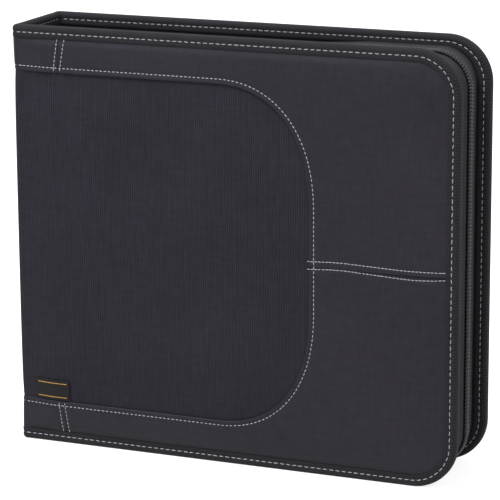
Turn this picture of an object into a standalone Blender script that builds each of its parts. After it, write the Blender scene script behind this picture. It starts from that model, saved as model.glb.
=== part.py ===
"""Zip-round disc storage case: a soft black two-cover wallet that stands on its lower edge.

X runs from the spine to the opening edge, -Y is the front cover, +Z is up.
All lengths are in metres.
"""

import math

import bmesh
import bpy
from mathutils import Matrix

# Overall size, over the edge bindings
CASE_WIDTH = 0.310
CASE_HEIGHT = 0.284
CASE_THICKNESS = 0.069
CORNER_RADIUS = 0.030

# Gap left between two pieces that touch on the real case
SEAT = 0.0003

# Layers of a cover, from the outside in
BINDING_THICKNESS = 0.0007
BINDING_WIDTH = 0.0080
BINDING_ROUND = 0.0026
SKIN_THICKNESS = 0.0008
BOARD_THICKNESS = 0.0040
LINING_THICKNESS = 0.0006

# Front face: the ribbed panel in its opening, and the seams between the smooth sheets
PANEL_MARGIN = 0.0300
PANEL_REACH = 0.2105
PANEL_CORNER_X = 0.0650
PANEL_CORNER_Z = 0.0800
PANEL_SQUARENESS = 2.3
PANEL_RIM_RISE = 0.0002
PANEL_PUFF = ((0.0050, 0.0005), (0.0100, 0.0004), (0.0180, 0.0003))
HINGE_SEAM = 0.0338
CROSS_SEAM_Z = 0.1395

# Woven tag on the ribbed panel
TAG_WIDTH = 0.0260
TAG_HEIGHT = 0.0140
TAG_THICKNESS = 0.0005
TAG_FROM_SPINE = 0.0115

# Spine layers that differ from a cover's
SPINE_BOARD_THICKNESS = 0.0020

# Side wall: fabric strip at each cover, then the zip's tape and row of teeth
WALL_START = 0.0200
WALL_FLAT_HALF = 0.0060
GUSSET_THICKNESS = 0.0008
GUSSET_OVERLAP = 0.0030
TAPE_THICKNESS = 0.0008
TAPE_REACH = 0.0165
TAPE_GAP_HALF = 0.0016

# How deep the wall meets the covers, under their edges: at the spine, the bend, the top and the side
WALL_DEPTH_SPINE = 0.0120
WALL_DEPTH_BEND = 0.0084
WALL_DEPTH_TOP = 0.0060
WALL_DEPTH_SIDE = 0.0082

# How deep the top of the teeth lies under the covers' edges, at the same places
ZIP_DEPTH_SPINE = 0.0133
ZIP_DEPTH_BEND = 0.0073
ZIP_DEPTH_TOP = 0.0050
ZIP_DEPTH_SIDE = 0.0034
ZIP_BEND_FROM_SPINE = 0.1950
ZIP_LEVEL_FROM_SPINE = 0.2300

# Teeth
TOOTH_PITCH = 0.0030
TOOTH_LENGTH = 0.0018
TOOTH_CLEARANCE = 0.0003
ROW_HALF_WIDTH = 0.0036
ROW_HEIGHT = 0.0020
ROW_START_TOP = 0.0460
ROW_START_BOTTOM = 0.0240

# Slider and pull
SLIDER_FROM_SPINE = 0.0370
SLIDER_LENGTH = 0.0120
SLIDER_PLATE = 0.0012
SLIDER_WALL = 0.0010
SLIDER_NOSE = 0.0008
SLIDER_EDGE = 0.0003
BRIDGE_WIDTH = 0.0020
BRIDGE_THICKNESS = 0.0009
BRIDGE_HALF_LENGTH = 0.0044
BRIDGE_POST = 0.0014
BRIDGE_CLEARANCE = 0.0006
PULL_LENGTH = 0.0240
PULL_WIDTH = 0.0066
PULL_THICKNESS = 0.0014
PULL_BAR_HALF = 0.0007
PULL_SIDE_CLEARANCE = 0.0003
PULL_CORNER = 0.0018

# Page block, its binding strip and the sleeves on its front leaf
LEAF_COUNT = 12
LEAF_THICKNESS = 0.0026
LEAF_GAP = 0.0010
PAGE_MARGIN = 0.0160
PAGE_WALL_GAP = 0.0012
PAGE_EDGE_GAP = 0.0217
STRIP_THICKNESS = 0.0012
STRIP_FLAP = 0.0400
SLEEVE_THICKNESS = 0.0004
SLEEVE_WELD = 0.0030
SLEEVE_END_MARGIN = 0.0020
SLEEVE_SIDE_MARGIN = 0.0070
SLEEVE_NOTCH = 0.0110
SLEEVE_CORNER = 0.0030

# Smoothness
CORNER_STEPS = 8
BINDING_STEPS = 3
PANEL_STEPS = 12
SLOPE_STEPS = 6
BEND_STEPS = 3
TEETH_PER_RUN = 6
STRAIGHT_WITHIN = 0.000002
SMOOTH_UNDER_DEGREES = 40

# Positions that follow from the sizes above
LEFT = -CASE_WIDTH / 2
RIGHT = CASE_WIDTH / 2
MIDDLE_Z = CASE_HEIGHT / 2
SHEET_EDGE = BINDING_ROUND + SEAT
BOARD_EDGE = BINDING_THICKNESS + 0.5 * BINDING_ROUND
OUTSIDE_Y = CASE_THICKNESS / 2
SKIN_Y = OUTSIDE_Y - BINDING_THICKNESS - SEAT
BOARD_Y = SKIN_Y - SKIN_THICKNESS - SEAT
LINING_Y = BOARD_Y - BOARD_THICKNESS - SEAT
LINING_INSIDE_Y = LINING_Y - LINING_THICKNESS
INSIDE_Y = LINING_INSIDE_Y - SEAT - BINDING_THICKNESS
WALL_HALF = INSIDE_Y - SEAT
COVER_LEFT = LEFT + SKIN_THICKNESS + SEAT
PANEL_TOP = CASE_HEIGHT - PANEL_MARGIN
PANEL_RIGHT = LEFT + PANEL_REACH
SEAM_X = LEFT + HINGE_SEAM
SPINE_BOARD_X = LEFT + SKIN_THICKNESS + SEAT
SPINE_LINING_X = SPINE_BOARD_X + SPINE_BOARD_THICKNESS + SEAT
SPINE_INSIDE_X = SPINE_LINING_X + LINING_THICKNESS
SPINE_LEG_X = SPINE_INSIDE_X + SEAT
ZIP_SLOPE = (ZIP_DEPTH_SPINE - ZIP_DEPTH_BEND) / ZIP_BEND_FROM_SPINE
WALL_THICKNESS = ROW_HEIGHT + SEAT + TAPE_THICKNESS
PAGE_LOW = ZIP_DEPTH_SPINE - ZIP_SLOPE * WALL_START + WALL_THICKNESS + PAGE_WALL_GAP
PAGE_HIGH = CASE_HEIGHT - PAGE_LOW
PAGE_LEFT = SPINE_INSIDE_X + SEAT + STRIP_THICKNESS + SEAT
PAGE_RIGHT = RIGHT - ZIP_DEPTH_SIDE - WALL_THICKNESS - PAGE_EDGE_GAP
PAGE_BACK_Y = LINING_INSIDE_Y - SEAT - STRIP_THICKNESS - SEAT
PAGE_FRONT_Y = PAGE_BACK_Y - LEAF_COUNT * (LEAF_THICKNESS + LEAF_GAP) + LEAF_GAP
LEAF_LEFT = PAGE_LEFT + PAGE_MARGIN


# Scene, materials and how pieces are placed


def srgb(red, green, blue):
    """Linear colour of an 8-bit sRGB one."""
    shares = [value / 255 for value in (red, green, blue)]
    return (*(s / 12.92 if s <= 0.04045 else ((s + 0.055) / 1.055) ** 2.4 for s in shares), 1.0)


def material(name, rgb, roughness, metallic=0.0):
    made = bpy.data.materials.new(name)
    made.use_nodes = True
    shader = made.node_tree.nodes["Principled BSDF"]
    shader.inputs["Base Color"].default_value = srgb(*rgb)
    shader.inputs["Roughness"].default_value = roughness
    shader.inputs["Metallic"].default_value = metallic
    made.diffuse_color = srgb(*rgb)
    return made


def collection(name):
    made = bpy.data.collections.new(name)
    bpy.context.scene.collection.children.link(made)
    return made


def joint_axis(name, location, tilt=0.0):
    """Empty on a joint's axis. The pieces that turn or slide there are its children."""
    axis = bpy.data.objects.new(name, None)
    axis.location = location
    axis.rotation_euler = (0.0, -tilt, 0.0)
    axis.empty_display_size = 0.02
    CASE.objects.link(axis)
    return axis


def attach(thing, axis, keep_place=True):
    """Makes the axis the parent, with the piece left where it is or taken along."""
    thing.parent = axis
    if keep_place:
        bpy.context.view_layer.update()
        thing.matrix_parent_inverse = axis.matrix_world.inverted()
    return thing


def finish_mesh(mesh, finish):
    """Welds the mesh, turns its faces out, shades its rounds smooth and gives it a material."""
    shape = bmesh.new()
    shape.from_mesh(mesh)
    bmesh.ops.remove_doubles(shape, verts=shape.verts, dist=1e-6)
    bmesh.ops.recalc_face_normals(shape, faces=shape.faces)
    shape.to_mesh(mesh)
    shape.free()
    mesh.shade_smooth()
    mesh.set_sharp_from_angle(angle=math.radians(SMOOTH_UNDER_DEGREES))
    mesh.materials.clear()
    mesh.materials.append(finish)


def piece(name, mesh, finish, matrix=None, where=None):
    finish_mesh(mesh, finish)
    mesh.name = name
    thing = bpy.data.objects.new(name, mesh)
    thing.matrix_world = matrix or Matrix()
    (where or CASE).objects.link(thing)
    return thing


def as_mesh(curve, matrix):
    """The mesh that Blender fills and bevels from a curve. The curve itself goes."""
    guide = bpy.data.objects.new("guide", curve)
    guide.matrix_world = matrix
    CUTTERS.objects.link(guide)
    bpy.context.view_layer.update()
    mesh = bpy.data.meshes.new_from_object(guide.evaluated_get(bpy.context.evaluated_depsgraph_get()))
    bpy.data.objects.remove(guide, do_unlink=True)
    return mesh


def poly_curve(name, loops, closed=True):
    curve = bpy.data.curves.new(name, "CURVE")
    curve.dimensions = "2D"
    curve.fill_mode = "NONE"
    for loop in loops:
        line = curve.splines.new("POLY")
        line.points.add(len(loop) - 1)
        line.points.foreach_set("co", [value for a, b in loop for value in (a, b, 0.0, 1.0)])
        line.use_cyclic_u = closed
    return curve


def facing(axis, level):
    """Places a flat drawing across an axis: across x it is drawn in (y, z), across y in (x, z)."""
    turns = {
        "x": Matrix(((0, 0, 1), (1, 0, 0), (0, 1, 0))),
        "y": Matrix(((1, 0, 0), (0, 0, -1), (0, 1, 0))),
        "z": Matrix.Identity(3),
    }
    shift = {"x": (level, 0, 0), "y": (0, level, 0), "z": (0, 0, level)}[axis]
    return Matrix.Translation(shift) @ turns[axis].to_4x4()


def plate(name, loops, axis, near, far, finish, where=None):
    """Flat piece: a filled outline, with any holes after it, between two levels of an axis."""
    curve = poly_curve(name, loops)
    curve.fill_mode = "BOTH"
    curve.extrude = abs(far - near) / 2
    matrix = facing(axis, (near + far) / 2)
    return piece(name, as_mesh(curve, matrix), finish, matrix, where)


def arc(centre, radius, start, end, steps):
    """Points from one angle to another round a centre, both ends included."""
    turns = [math.radians(start + (end - start) * k / steps) for k in range(steps + 1)]
    return [(centre[0] + radius * math.cos(t), centre[1] + radius * math.sin(t)) for t in turns]


# Covers


def cover_edge(inset, left):
    """Edge of a cover from the spine round to the spine: square there, rounded at the opening side."""
    radius = CORNER_RADIUS - inset
    corner_x = RIGHT - CORNER_RADIUS
    upper = arc((corner_x, CASE_HEIGHT - CORNER_RADIUS), radius, 90, 0, CORNER_STEPS)
    lower = arc((corner_x, CORNER_RADIUS), radius, 0, -90, CORNER_STEPS)
    return [(left, CASE_HEIGHT - inset), *upper, *lower, (left, inset)]


def layer(name, loop, side, outer_y, thickness, finish):
    """One flat layer of a cover, its outer face at a distance from the middle of the case."""
    return plate(name, [loop], "y", side * outer_y, side * (outer_y - thickness), finish)


def binding(name, side):
    """Tape folded over a cover's edge: a U section drawn along the edge, with round outer corners."""
    near = (BINDING_ROUND, OUTSIDE_Y - BINDING_ROUND)
    far = (BINDING_ROUND, INSIDE_Y + BINDING_ROUND)
    turn = BINDING_ROUND - BINDING_THICKNESS
    section = [(BINDING_WIDTH, OUTSIDE_Y), *arc(near, BINDING_ROUND, 90, 180, BINDING_STEPS)]
    section += [*arc(far, BINDING_ROUND, 180, 270, BINDING_STEPS), (BINDING_WIDTH, INSIDE_Y)]
    section += [(BINDING_WIDTH, INSIDE_Y + BINDING_THICKNESS), *arc(far, turn, 270, 180, BINDING_STEPS)]
    section += [*arc(near, turn, 180, 90, BINDING_STEPS), (BINDING_WIDTH, OUTSIDE_Y - BINDING_THICKNESS)]
    profile = poly_curve("binding_section", [[(depth, -side * y) for depth, y in section]])
    profile_guide = bpy.data.objects.new("binding_section", profile)
    CUTTERS.objects.link(profile_guide)
    path = poly_curve(name, [cover_edge(0.0, LEFT)], closed=False)
    path.bevel_mode = "OBJECT"
    path.bevel_object = profile_guide
    path.use_fill_caps = True
    matrix = facing("y", 0.0)
    made = piece(name, as_mesh(path, matrix), BINDING_CLOTH, matrix)
    bpy.data.objects.remove(profile_guide, do_unlink=True)
    return made


def panel_edge(inset):
    """Round edge of the D-shaped opening, as its upper and its lower half, from the top down."""
    power = 2 / PANEL_SQUARENESS
    centre_x = PANEL_RIGHT - PANEL_CORNER_X
    rise = MIDDLE_Z - PANEL_MARGIN - PANEL_CORNER_Z
    halves = []
    for side in (1, -1):
        half = []
        for k in range(PANEL_STEPS + 1):
            turn = math.pi / 2 * k / PANEL_STEPS
            x = centre_x + (PANEL_CORNER_X - inset) * math.sin(turn) ** power
            z = MIDDLE_Z + side * (rise + (PANEL_CORNER_Z - inset) * max(0.0, math.cos(turn)) ** power)
            half.append((x, z))
        halves.append(half)
    return halves[0], halves[1][::-1]


def front_sheets():
    """Smooth sheets round the ribbed panel: upper and lower, and a strip at each end of the spine."""
    gap = SEAT / 2
    edge = cover_edge(SHEET_EDGE, SEAM_X + gap)
    half = len(edge) // 2
    cut_upper, cut_lower = panel_edge(0.0)
    upper = edge[:half] + [(edge[half - 1][0], CROSS_SEAM_Z + gap), (PANEL_RIGHT, CROSS_SEAM_Z + gap)]
    upper += cut_upper[::-1] + [(SEAM_X + gap, PANEL_TOP)]
    lower = [(edge[half][0], CROSS_SEAM_Z - gap)] + edge[half:] + [(SEAM_X + gap, PANEL_MARGIN)]
    lower += cut_lower[::-1] + [(PANEL_RIGHT, CROSS_SEAM_Z - gap)]
    made = [
        layer("front_sheet_upper", upper, -1, SKIN_Y, SKIN_THICKNESS, SMOOTH_CLOTH),
        layer("front_sheet_lower", lower, -1, SKIN_Y, SKIN_THICKNESS, SMOOTH_CLOTH),
    ]
    for name, low, high in (
        ("front_strip_top", PANEL_TOP, CASE_HEIGHT - SHEET_EDGE),
        ("front_strip_bottom", SHEET_EDGE, PANEL_MARGIN),
    ):
        right = SEAM_X - gap
        strip = [(COVER_LEFT, low), (right, low), (right, high), (COVER_LEFT, high)]
        made.append(layer(name, strip, -1, SKIN_Y, SKIN_THICKNESS, SMOOTH_CLOTH))
    return made


def ribbed_panel():
    """D-shaped fabric panel: its face swells in steps from the rim to a level middle."""
    upper, lower = panel_edge(SEAT)
    loop = [(COVER_LEFT, PANEL_TOP - SEAT), *upper, *lower, (COVER_LEFT, PANEL_MARGIN + SEAT)]
    made = layer("front_fabric_panel", loop, -1, BOARD_Y + SEAT + PANEL_RIM_RISE, PANEL_RIM_RISE, RIBBED_CLOTH)
    shape = bmesh.new()
    shape.from_mesh(made.data)
    front = [f for f in shape.faces if f.normal.z > 0.99 and f.calc_center_median().z > 0]
    face = bmesh.ops.dissolve_faces(shape, faces=front)["region"]
    for width, rise in PANEL_PUFF:
        bmesh.ops.inset_region(shape, faces=face, thickness=width, use_even_offset=True)
        bmesh.ops.translate(shape, verts=face[0].verts[:], vec=(0.0, 0.0, rise))
    shape.to_mesh(made.data)
    shape.free()
    made.data.shade_smooth()
    return made


def tag():
    """Small woven tag that lies on the ribbed panel, its lower edge at the opening's edge."""
    low = PANEL_MARGIN + 2 * SEAT
    left = LEFT + TAG_FROM_SPINE
    right = left + TAG_WIDTH
    loop = [(left, low), (right, low), (right, low + TAG_HEIGHT), (left, low + TAG_HEIGHT)]
    face = BOARD_Y + SEAT + PANEL_RIM_RISE + PANEL_PUFF[0][1] + PANEL_PUFF[1][1]
    return layer("label_tag", loop, -1, face + TAG_THICKNESS, TAG_THICKNESS, TAG_CLOTH)


def cover_core(side, board_name, lining_name):
    board = cover_edge(BOARD_EDGE, COVER_LEFT)
    lining = cover_edge(SHEET_EDGE, COVER_LEFT)
    return [
        layer(board_name, board, side, BOARD_Y, BOARD_THICKNESS, BOARD_CARD),
        layer(lining_name, lining, side, LINING_Y, LINING_THICKNESS, LINING_CLOTH),
    ]


# Spine


def spine():
    """Outer fabric and a smooth strip at each end, soft board, lining, bound at top and bottom."""
    made = []
    under = BINDING_WIDTH + SEAT
    for name, low, high, finish in (
        ("spine_strip_bottom", under, PANEL_MARGIN - SEAT, SMOOTH_CLOTH),
        ("spine_fabric", PANEL_MARGIN, PANEL_TOP, RIBBED_CLOTH),
        ("spine_strip_top", PANEL_TOP + SEAT, CASE_HEIGHT - under, SMOOTH_CLOTH),
    ):
        loop = [(-SKIN_Y, low), (SKIN_Y, low), (SKIN_Y, high), (-SKIN_Y, high)]
        made.append(plate(name, [loop], "x", LEFT, LEFT + SKIN_THICKNESS, finish))
    low = BINDING_THICKNESS + SEAT
    high = CASE_HEIGHT - low
    loop = [(-WALL_HALF, low), (WALL_HALF, low), (WALL_HALF, high), (-WALL_HALF, high)]
    for name, near, thickness, finish in (
        ("spine_board", SPINE_BOARD_X, SPINE_BOARD_THICKNESS, BOARD_CARD),
        ("spine_lining", SPINE_LINING_X, LINING_THICKNESS, LINING_CLOTH),
    ):
        made.append(plate(name, [loop], "x", near, near + thickness, finish))
    for name, end, way in (("spine_binding_top", CASE_HEIGHT, -1), ("spine_binding_bottom", 0.0, 1)):
        leg = end + way * BINDING_WIDTH
        web = end + way * BINDING_THICKNESS
        far = SPINE_LEG_X + BINDING_THICKNESS
        section = [(LEFT, leg), (LEFT, end), (far, end), (far, leg), (SPINE_LEG_X, leg), (SPINE_LEG_X, web)]
        section += [(LEFT + BINDING_THICKNESS, web), (LEFT + BINDING_THICKNESS, leg)]
        made.append(plate(name, [section], "y", -WALL_HALF, WALL_HALF, BINDING_CLOTH))
    return made


# Side wall and zip


def wall_places():
    """Places along the top where the wall is measured, close enough that its twist stays smooth."""
    made = [LEFT + WALL_START]
    for end, steps in ((ZIP_BEND_FROM_SPINE, SLOPE_STEPS), (ZIP_LEVEL_FROM_SPINE, BEND_STEPS)):
        start = made[-1]
        made += [start + (LEFT + end - start) * k / steps for k in range(1, steps + 1)]
    return made


def edge_stations(first, last):
    """Edge points and inward directions round the case, from one place on top to one at the bottom."""
    corner_x = RIGHT - CORNER_RADIUS
    places = wall_places()
    stations = [((first, CASE_HEIGHT), (0.0, -1.0))]
    stations += [((x, CASE_HEIGHT), (0.0, -1.0)) for x in places if x > first + SEAT]
    for centre_z, start, end in ((CASE_HEIGHT - CORNER_RADIUS, 90, 0), (CORNER_RADIUS, 0, -90)):
        edge = arc((corner_x, centre_z), CORNER_RADIUS, start, end, CORNER_STEPS)
        inward = arc((0.0, 0.0), -1.0, start, end, CORNER_STEPS)
        stations += list(zip(edge, inward))
    stations += [((x, 0.0), (0.0, 1.0)) for x in reversed(places) if x > last + SEAT]
    stations.append(((last, 0.0), (0.0, 1.0)))
    return stations


def at_depth(station, depth, y):
    (x, z), (inward_x, inward_z) = station
    return (x + inward_x * depth, y, z + inward_z * depth)


def depth_there(station, at_spine, at_bend, on_top, on_side):
    """Depth under the edge, from the depths at the spine, the bend, the level top and the opening side."""
    (x, _), (inward_x, _) = station
    from_spine = x - LEFT
    if from_spine <= ZIP_BEND_FROM_SPINE:
        return at_spine + (at_bend - at_spine) * from_spine / ZIP_BEND_FROM_SPINE
    if from_spine < ZIP_LEVEL_FROM_SPINE:
        share = (from_spine - ZIP_BEND_FROM_SPINE) / (ZIP_LEVEL_FROM_SPINE - ZIP_BEND_FROM_SPINE)
        return at_bend + (on_top - at_bend) * share
    return on_top + (on_side - on_top) * abs(inward_x)


def zip_depth(station):
    """Depth of the top of the teeth: deep at the spine, shallow on the opening side."""
    return depth_there(station, ZIP_DEPTH_SPINE, ZIP_DEPTH_BEND, ZIP_DEPTH_TOP, ZIP_DEPTH_SIDE)


def wall_depth(station, y):
    """Depth of the wall's outer face: level under the teeth, then a straight slope to the cover."""
    middle = zip_depth(station) + ROW_HEIGHT + SEAT
    edge = depth_there(station, WALL_DEPTH_SPINE, WALL_DEPTH_BEND, WALL_DEPTH_TOP, WALL_DEPTH_SIDE)
    share = max(0.0, (y - WALL_FLAT_HALF) / (WALL_HALF - WALL_FLAT_HALF))
    return middle + (edge - middle) * share


def wall_band(name, side, across, extra_depth, thickness, finish):
    """Band of the wall: an open surface between the given distances from the middle, made solid inward."""
    stations = edge_stations(LEFT + WALL_START, LEFT + WALL_START)
    points = [at_depth(s, wall_depth(s, y) + extra_depth, side * y) for s in stations for y in across]
    count = len(across)
    faces = []
    for row in range(len(stations) - 1):
        for column in range(count - 1):
            corner = row * count + column
            face = (corner, corner + count, corner + count + 1, corner + 1)
            faces.append(face if side > 0 else face[::-1])
    mesh = bpy.data.meshes.new(name)
    mesh.from_pydata(points, [], faces)
    mesh.shade_smooth()
    mesh.materials.append(finish)
    band = bpy.data.objects.new(name, mesh)
    CASE.objects.link(band)
    shell = band.modifiers.new("thickness", "SOLIDIFY")
    shell.thickness = thickness
    shell.offset = -1.0
    shell.use_even_offset = True
    return band


def gusset(name, side):
    """Fabric strip from the cover's inside to under the zip's tape."""
    across = (TAPE_REACH - GUSSET_OVERLAP, WALL_HALF - 0.5 * GUSSET_THICKNESS)
    return wall_band(name, side, across, TAPE_THICKNESS + SEAT, GUSSET_THICKNESS, WALL_CLOTH)


def tape(name, side):
    """Zip tape: level under the teeth, then sloping out over the fabric strip."""
    across = (TAPE_GAP_HALF, WALL_FLAT_HALF, TAPE_REACH)
    return wall_band(name, side, across, 0.0, TAPE_THICKNESS, TAPE_CLOTH)


def along(stations):
    """Length of the way through the stations, and a function that gives the place at any length."""
    lengths = [0.0]
    for (a, _), (b, _) in zip(stations, stations[1:]):
        lengths.append(lengths[-1] + math.dist(a, b))

    def place(length):
        k = 0
        while k < len(lengths) - 2 and lengths[k + 1] < length:
            k += 1
        share = (length - lengths[k]) / (lengths[k + 1] - lengths[k])
        (a, n), (b, m) = stations[k], stations[k + 1]
        edge = tuple(a[i] + (b[i] - a[i]) * share for i in range(2))
        inward = tuple(n[i] + (m[i] - n[i]) * share for i in range(2))
        size = math.hypot(*inward)
        return edge, (inward[0] / size, inward[1] / size)

    return lengths[-1], place


def straight_runs(places):
    """Splits half-tooth places into runs of whole teeth, each as long as the row stays straight."""
    spots = [at_depth(here, zip_depth(here), 0.0) for here in places]
    ends = [0]
    while ends[-1] < len(places) - 1:
        first = ends[-1]
        last = first + 2
        while last + 2 <= len(places) - 1 and last - first < 2 * TEETH_PER_RUN:
            whole = math.dist(spots[first], spots[last + 2])
            parts = sum(math.dist(spots[k], spots[k + 1]) for k in range(first, last + 2))
            if parts - whole > STRAIGHT_WITHIN:
                break
            last += 2
        ends.append(last)
    return ends


def teeth(name, side):
    """One row of the zip: a strip whose inner edge is a zigzag that fits into the other row's."""
    total, place = along(edge_stations(LEFT + ROW_START_TOP, LEFT + ROW_START_BOTTOM))
    count = int(total / TOOTH_PITCH)
    pitch = total / count
    places = [place(k * pitch / 2) for k in range(2 * count + 1)]
    ends = straight_runs(places)
    lean = math.hypot(TOOTH_LENGTH, pitch / 2) / (pitch / 2)
    middle = side * TOOTH_CLEARANCE * lean / 2
    points = []
    back = []
    tips = []
    for k, here in enumerate(places):
        top = zip_depth(here)
        tips.append(len(points))
        y = middle + TOOTH_LENGTH / 2 * (1 if k % 2 else -1)
        points += [at_depth(here, top, y), at_depth(here, top + ROW_HEIGHT, y)]
        if k in ends:
            back.append(len(points))
            y = side * ROW_HALF_WIDTH
            points += [at_depth(here, top, y), at_depth(here, top + ROW_HEIGHT, y)]
    faces = [(tips[k], tips[k + 1], tips[k + 1] + 1, tips[k] + 1) for k in range(2 * count)]
    for k in range(len(back) - 1):
        run = tips[ends[k] : ends[k + 1] + 1]
        faces.append((back[k], back[k + 1], *reversed(run)))
        faces.append((back[k] + 1, *[tip + 1 for tip in run], back[k + 1] + 1))
        faces.append((back[k], back[k] + 1, back[k + 1] + 1, back[k + 1]))
    faces.append((back[0], tips[0], tips[0] + 1, back[0] + 1))
    faces.append((back[-1], back[-1] + 1, tips[-1] + 1, tips[-1]))
    mesh = bpy.data.meshes.new(name)
    mesh.from_pydata(points, [], faces)
    return piece(name, mesh, TEETH_PLASTIC)


# Slider and pull, drawn on the tape with X along the zip and Z away from the case

CHANNEL_HALF = ROW_HALF_WIDTH + TOOTH_CLEARANCE
CHANNEL_TOP = SEAT + ROW_HEIGHT + TOOTH_CLEARANCE
PLATE_TOP = CHANNEL_TOP + SLIDER_PLATE
BAR_REACH = PULL_BAR_HALF + BRIDGE_CLEARANCE
BAR_HEIGHT = PLATE_TOP + BAR_REACH


def tool(name, loops, axis, near, far):
    made = plate(name, loops, axis, near, far, SLIDER_METAL, CUTTERS)
    made.hide_render = True
    made.display_type = "WIRE"
    return made


def combine(body, other, operation):
    change = body.modifiers.new(other.name, "BOOLEAN")
    change.operation = operation
    change.solver = "EXACT"
    change.object = other


def slider(axis):
    """Slider that straddles the teeth: shield-shaped plate, a wall each side, an arch for the pull."""
    half = SLIDER_LENGTH / 2
    wide = CHANNEL_HALF + SLIDER_WALL
    waist = CHANNEL_HALF + 0.5 * SLIDER_WALL
    shield = [(-half, -waist), (-0.2 * half, -waist), (0.4 * half, -wide), (half - SLIDER_NOSE, -wide)]
    shield += [(half, SLIDER_NOSE - wide)]
    shield += [(x, -y) for x, y in reversed(shield)]
    body = plate("zip_slider", [shield], "z", SEAT, PLATE_TOP, SLIDER_METAL)
    edge = body.modifiers.new("edge", "BEVEL")
    edge.width = SLIDER_EDGE
    edge.segments = 1
    edge.limit_method = "ANGLE"
    edge.angle_limit = math.radians(50)
    box = [(-CHANNEL_HALF, -SLIDER_PLATE), (CHANNEL_HALF, -SLIDER_PLATE)]
    box += [(CHANNEL_HALF, CHANNEL_TOP), (-CHANNEL_HALF, CHANNEL_TOP)]
    channel = tool("slider_channel", [box], "x", -SLIDER_LENGTH, SLIDER_LENGTH)
    top = BAR_HEIGHT + BAR_REACH
    inside = BRIDGE_HALF_LENGTH - BRIDGE_POST
    foot = PLATE_TOP - 0.5 * SLIDER_PLATE
    arch = [(inside, top), (inside, foot), (BRIDGE_HALF_LENGTH, foot), (BRIDGE_HALF_LENGTH, BAR_HEIGHT)]
    arch += [(inside, top + BRIDGE_THICKNESS)]
    arch += [(-x, z) for x, z in reversed(arch)]
    bridge = tool("slider_bridge", [arch], "y", -BRIDGE_WIDTH / 2, BRIDGE_WIDTH / 2)
    combine(body, channel, "DIFFERENCE")
    combine(body, bridge, "UNION")
    for thing in (body, channel, bridge):
        attach(thing, axis, keep_place=False)


def pull(axis):
    """Flat pull with a slot at one end that takes the slider's arch. It lies along the teeth."""
    half = PULL_WIDTH / 2
    end = PULL_LENGTH - PULL_CORNER
    slot_end = BRIDGE_HALF_LENGTH + 2 * BRIDGE_CLEARANCE
    slot_half = BRIDGE_WIDTH / 2 + PULL_SIDE_CLEARANCE
    outline = [(-PULL_BAR_HALF, -0.8 * half), (slot_end, -half)]
    outline += arc((end, PULL_CORNER - half), PULL_CORNER, -90, 0, 4)
    outline += arc((end, half - PULL_CORNER), PULL_CORNER, 0, 90, 4)
    outline += [(slot_end, half), (-PULL_BAR_HALF, 0.8 * half)]
    slot = [(PULL_BAR_HALF, -slot_half), (PULL_BAR_HALF, slot_half)]
    slot += [(slot_end, slot_half), (slot_end, -slot_half)]
    level = PULL_THICKNESS / 2
    attach(plate("zip_pull", [outline, slot], "z", -level, level, SLIDER_METAL), axis, keep_place=False)


# Pages


def sleeve_outline(x_range, z_range):
    """Rectangle with rounded corners and a thumb notch in the middle of its upper edge."""
    left, right = x_range[0] + SLEEVE_CORNER, x_range[1] - SLEEVE_CORNER
    low, high = z_range[0] + SLEEVE_CORNER, z_range[1] - SLEEVE_CORNER
    loop = arc((left, low), SLEEVE_CORNER, 180, 270, 3) + arc((right, low), SLEEVE_CORNER, 270, 360, 3)
    loop += arc((right, high), SLEEVE_CORNER, 0, 90, 3)
    loop += arc(((left + right) / 2, z_range[1]), SLEEVE_NOTCH, 0, -180, 10)
    return loop + arc((left, high), SLEEVE_CORNER, 90, 180, 3)


def halves(low, high, margin):
    """The two spans that a weld in the middle leaves between two margins."""
    middle = (low + high) / 2
    return ((low + margin, middle - SLEEVE_WELD / 2), (middle + SLEEVE_WELD / 2, high - margin))


def pages():
    """Page block as one comb of leaves, the strip that binds it, and four sleeves on its front leaf."""
    comb = [(PAGE_LEFT, PAGE_BACK_Y), (PAGE_LEFT, PAGE_FRONT_Y)]
    for k in range(LEAF_COUNT):
        near = PAGE_FRONT_Y + k * (LEAF_THICKNESS + LEAF_GAP)
        far = near + LEAF_THICKNESS
        comb += [(PAGE_RIGHT, near), (PAGE_RIGHT, far)]
        if k < LEAF_COUNT - 1:
            comb += [(LEAF_LEFT, far), (LEAF_LEFT, far + LEAF_GAP)]
    plate("page_block", [comb], "z", PAGE_LOW, PAGE_HIGH, PAGE_CLOTH)
    x = PAGE_LEFT - SEAT
    y = PAGE_BACK_Y + SEAT
    strip = [(x, PAGE_FRONT_Y), (x, y), (x + STRIP_FLAP, y), (x + STRIP_FLAP, y + STRIP_THICKNESS)]
    strip += [(x - STRIP_THICKNESS, y + STRIP_THICKNESS), (x - STRIP_THICKNESS, PAGE_FRONT_Y)]
    plate("page_strip", [strip], "z", PAGE_LOW, PAGE_HIGH, LINING_CLOTH)
    number = 0
    face = PAGE_FRONT_Y - SEAT
    for z_range in reversed(halves(PAGE_LOW, PAGE_HIGH, SLEEVE_END_MARGIN)):
        for x_range in halves(LEAF_LEFT, PAGE_RIGHT, SLEEVE_SIDE_MARGIN):
            number += 1
            loop = sleeve_outline(x_range, z_range)
            plate(f"disc_sleeve_{number}", [loop], "y", face, face - SLEEVE_THICKNESS, SLEEVE_FILM)


# The case

for old in list(bpy.data.objects):
    bpy.data.objects.remove(old, do_unlink=True)
CASE = collection("disc_storage_case")
CUTTERS = collection("cutters")
CUTTERS.hide_render = True

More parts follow.
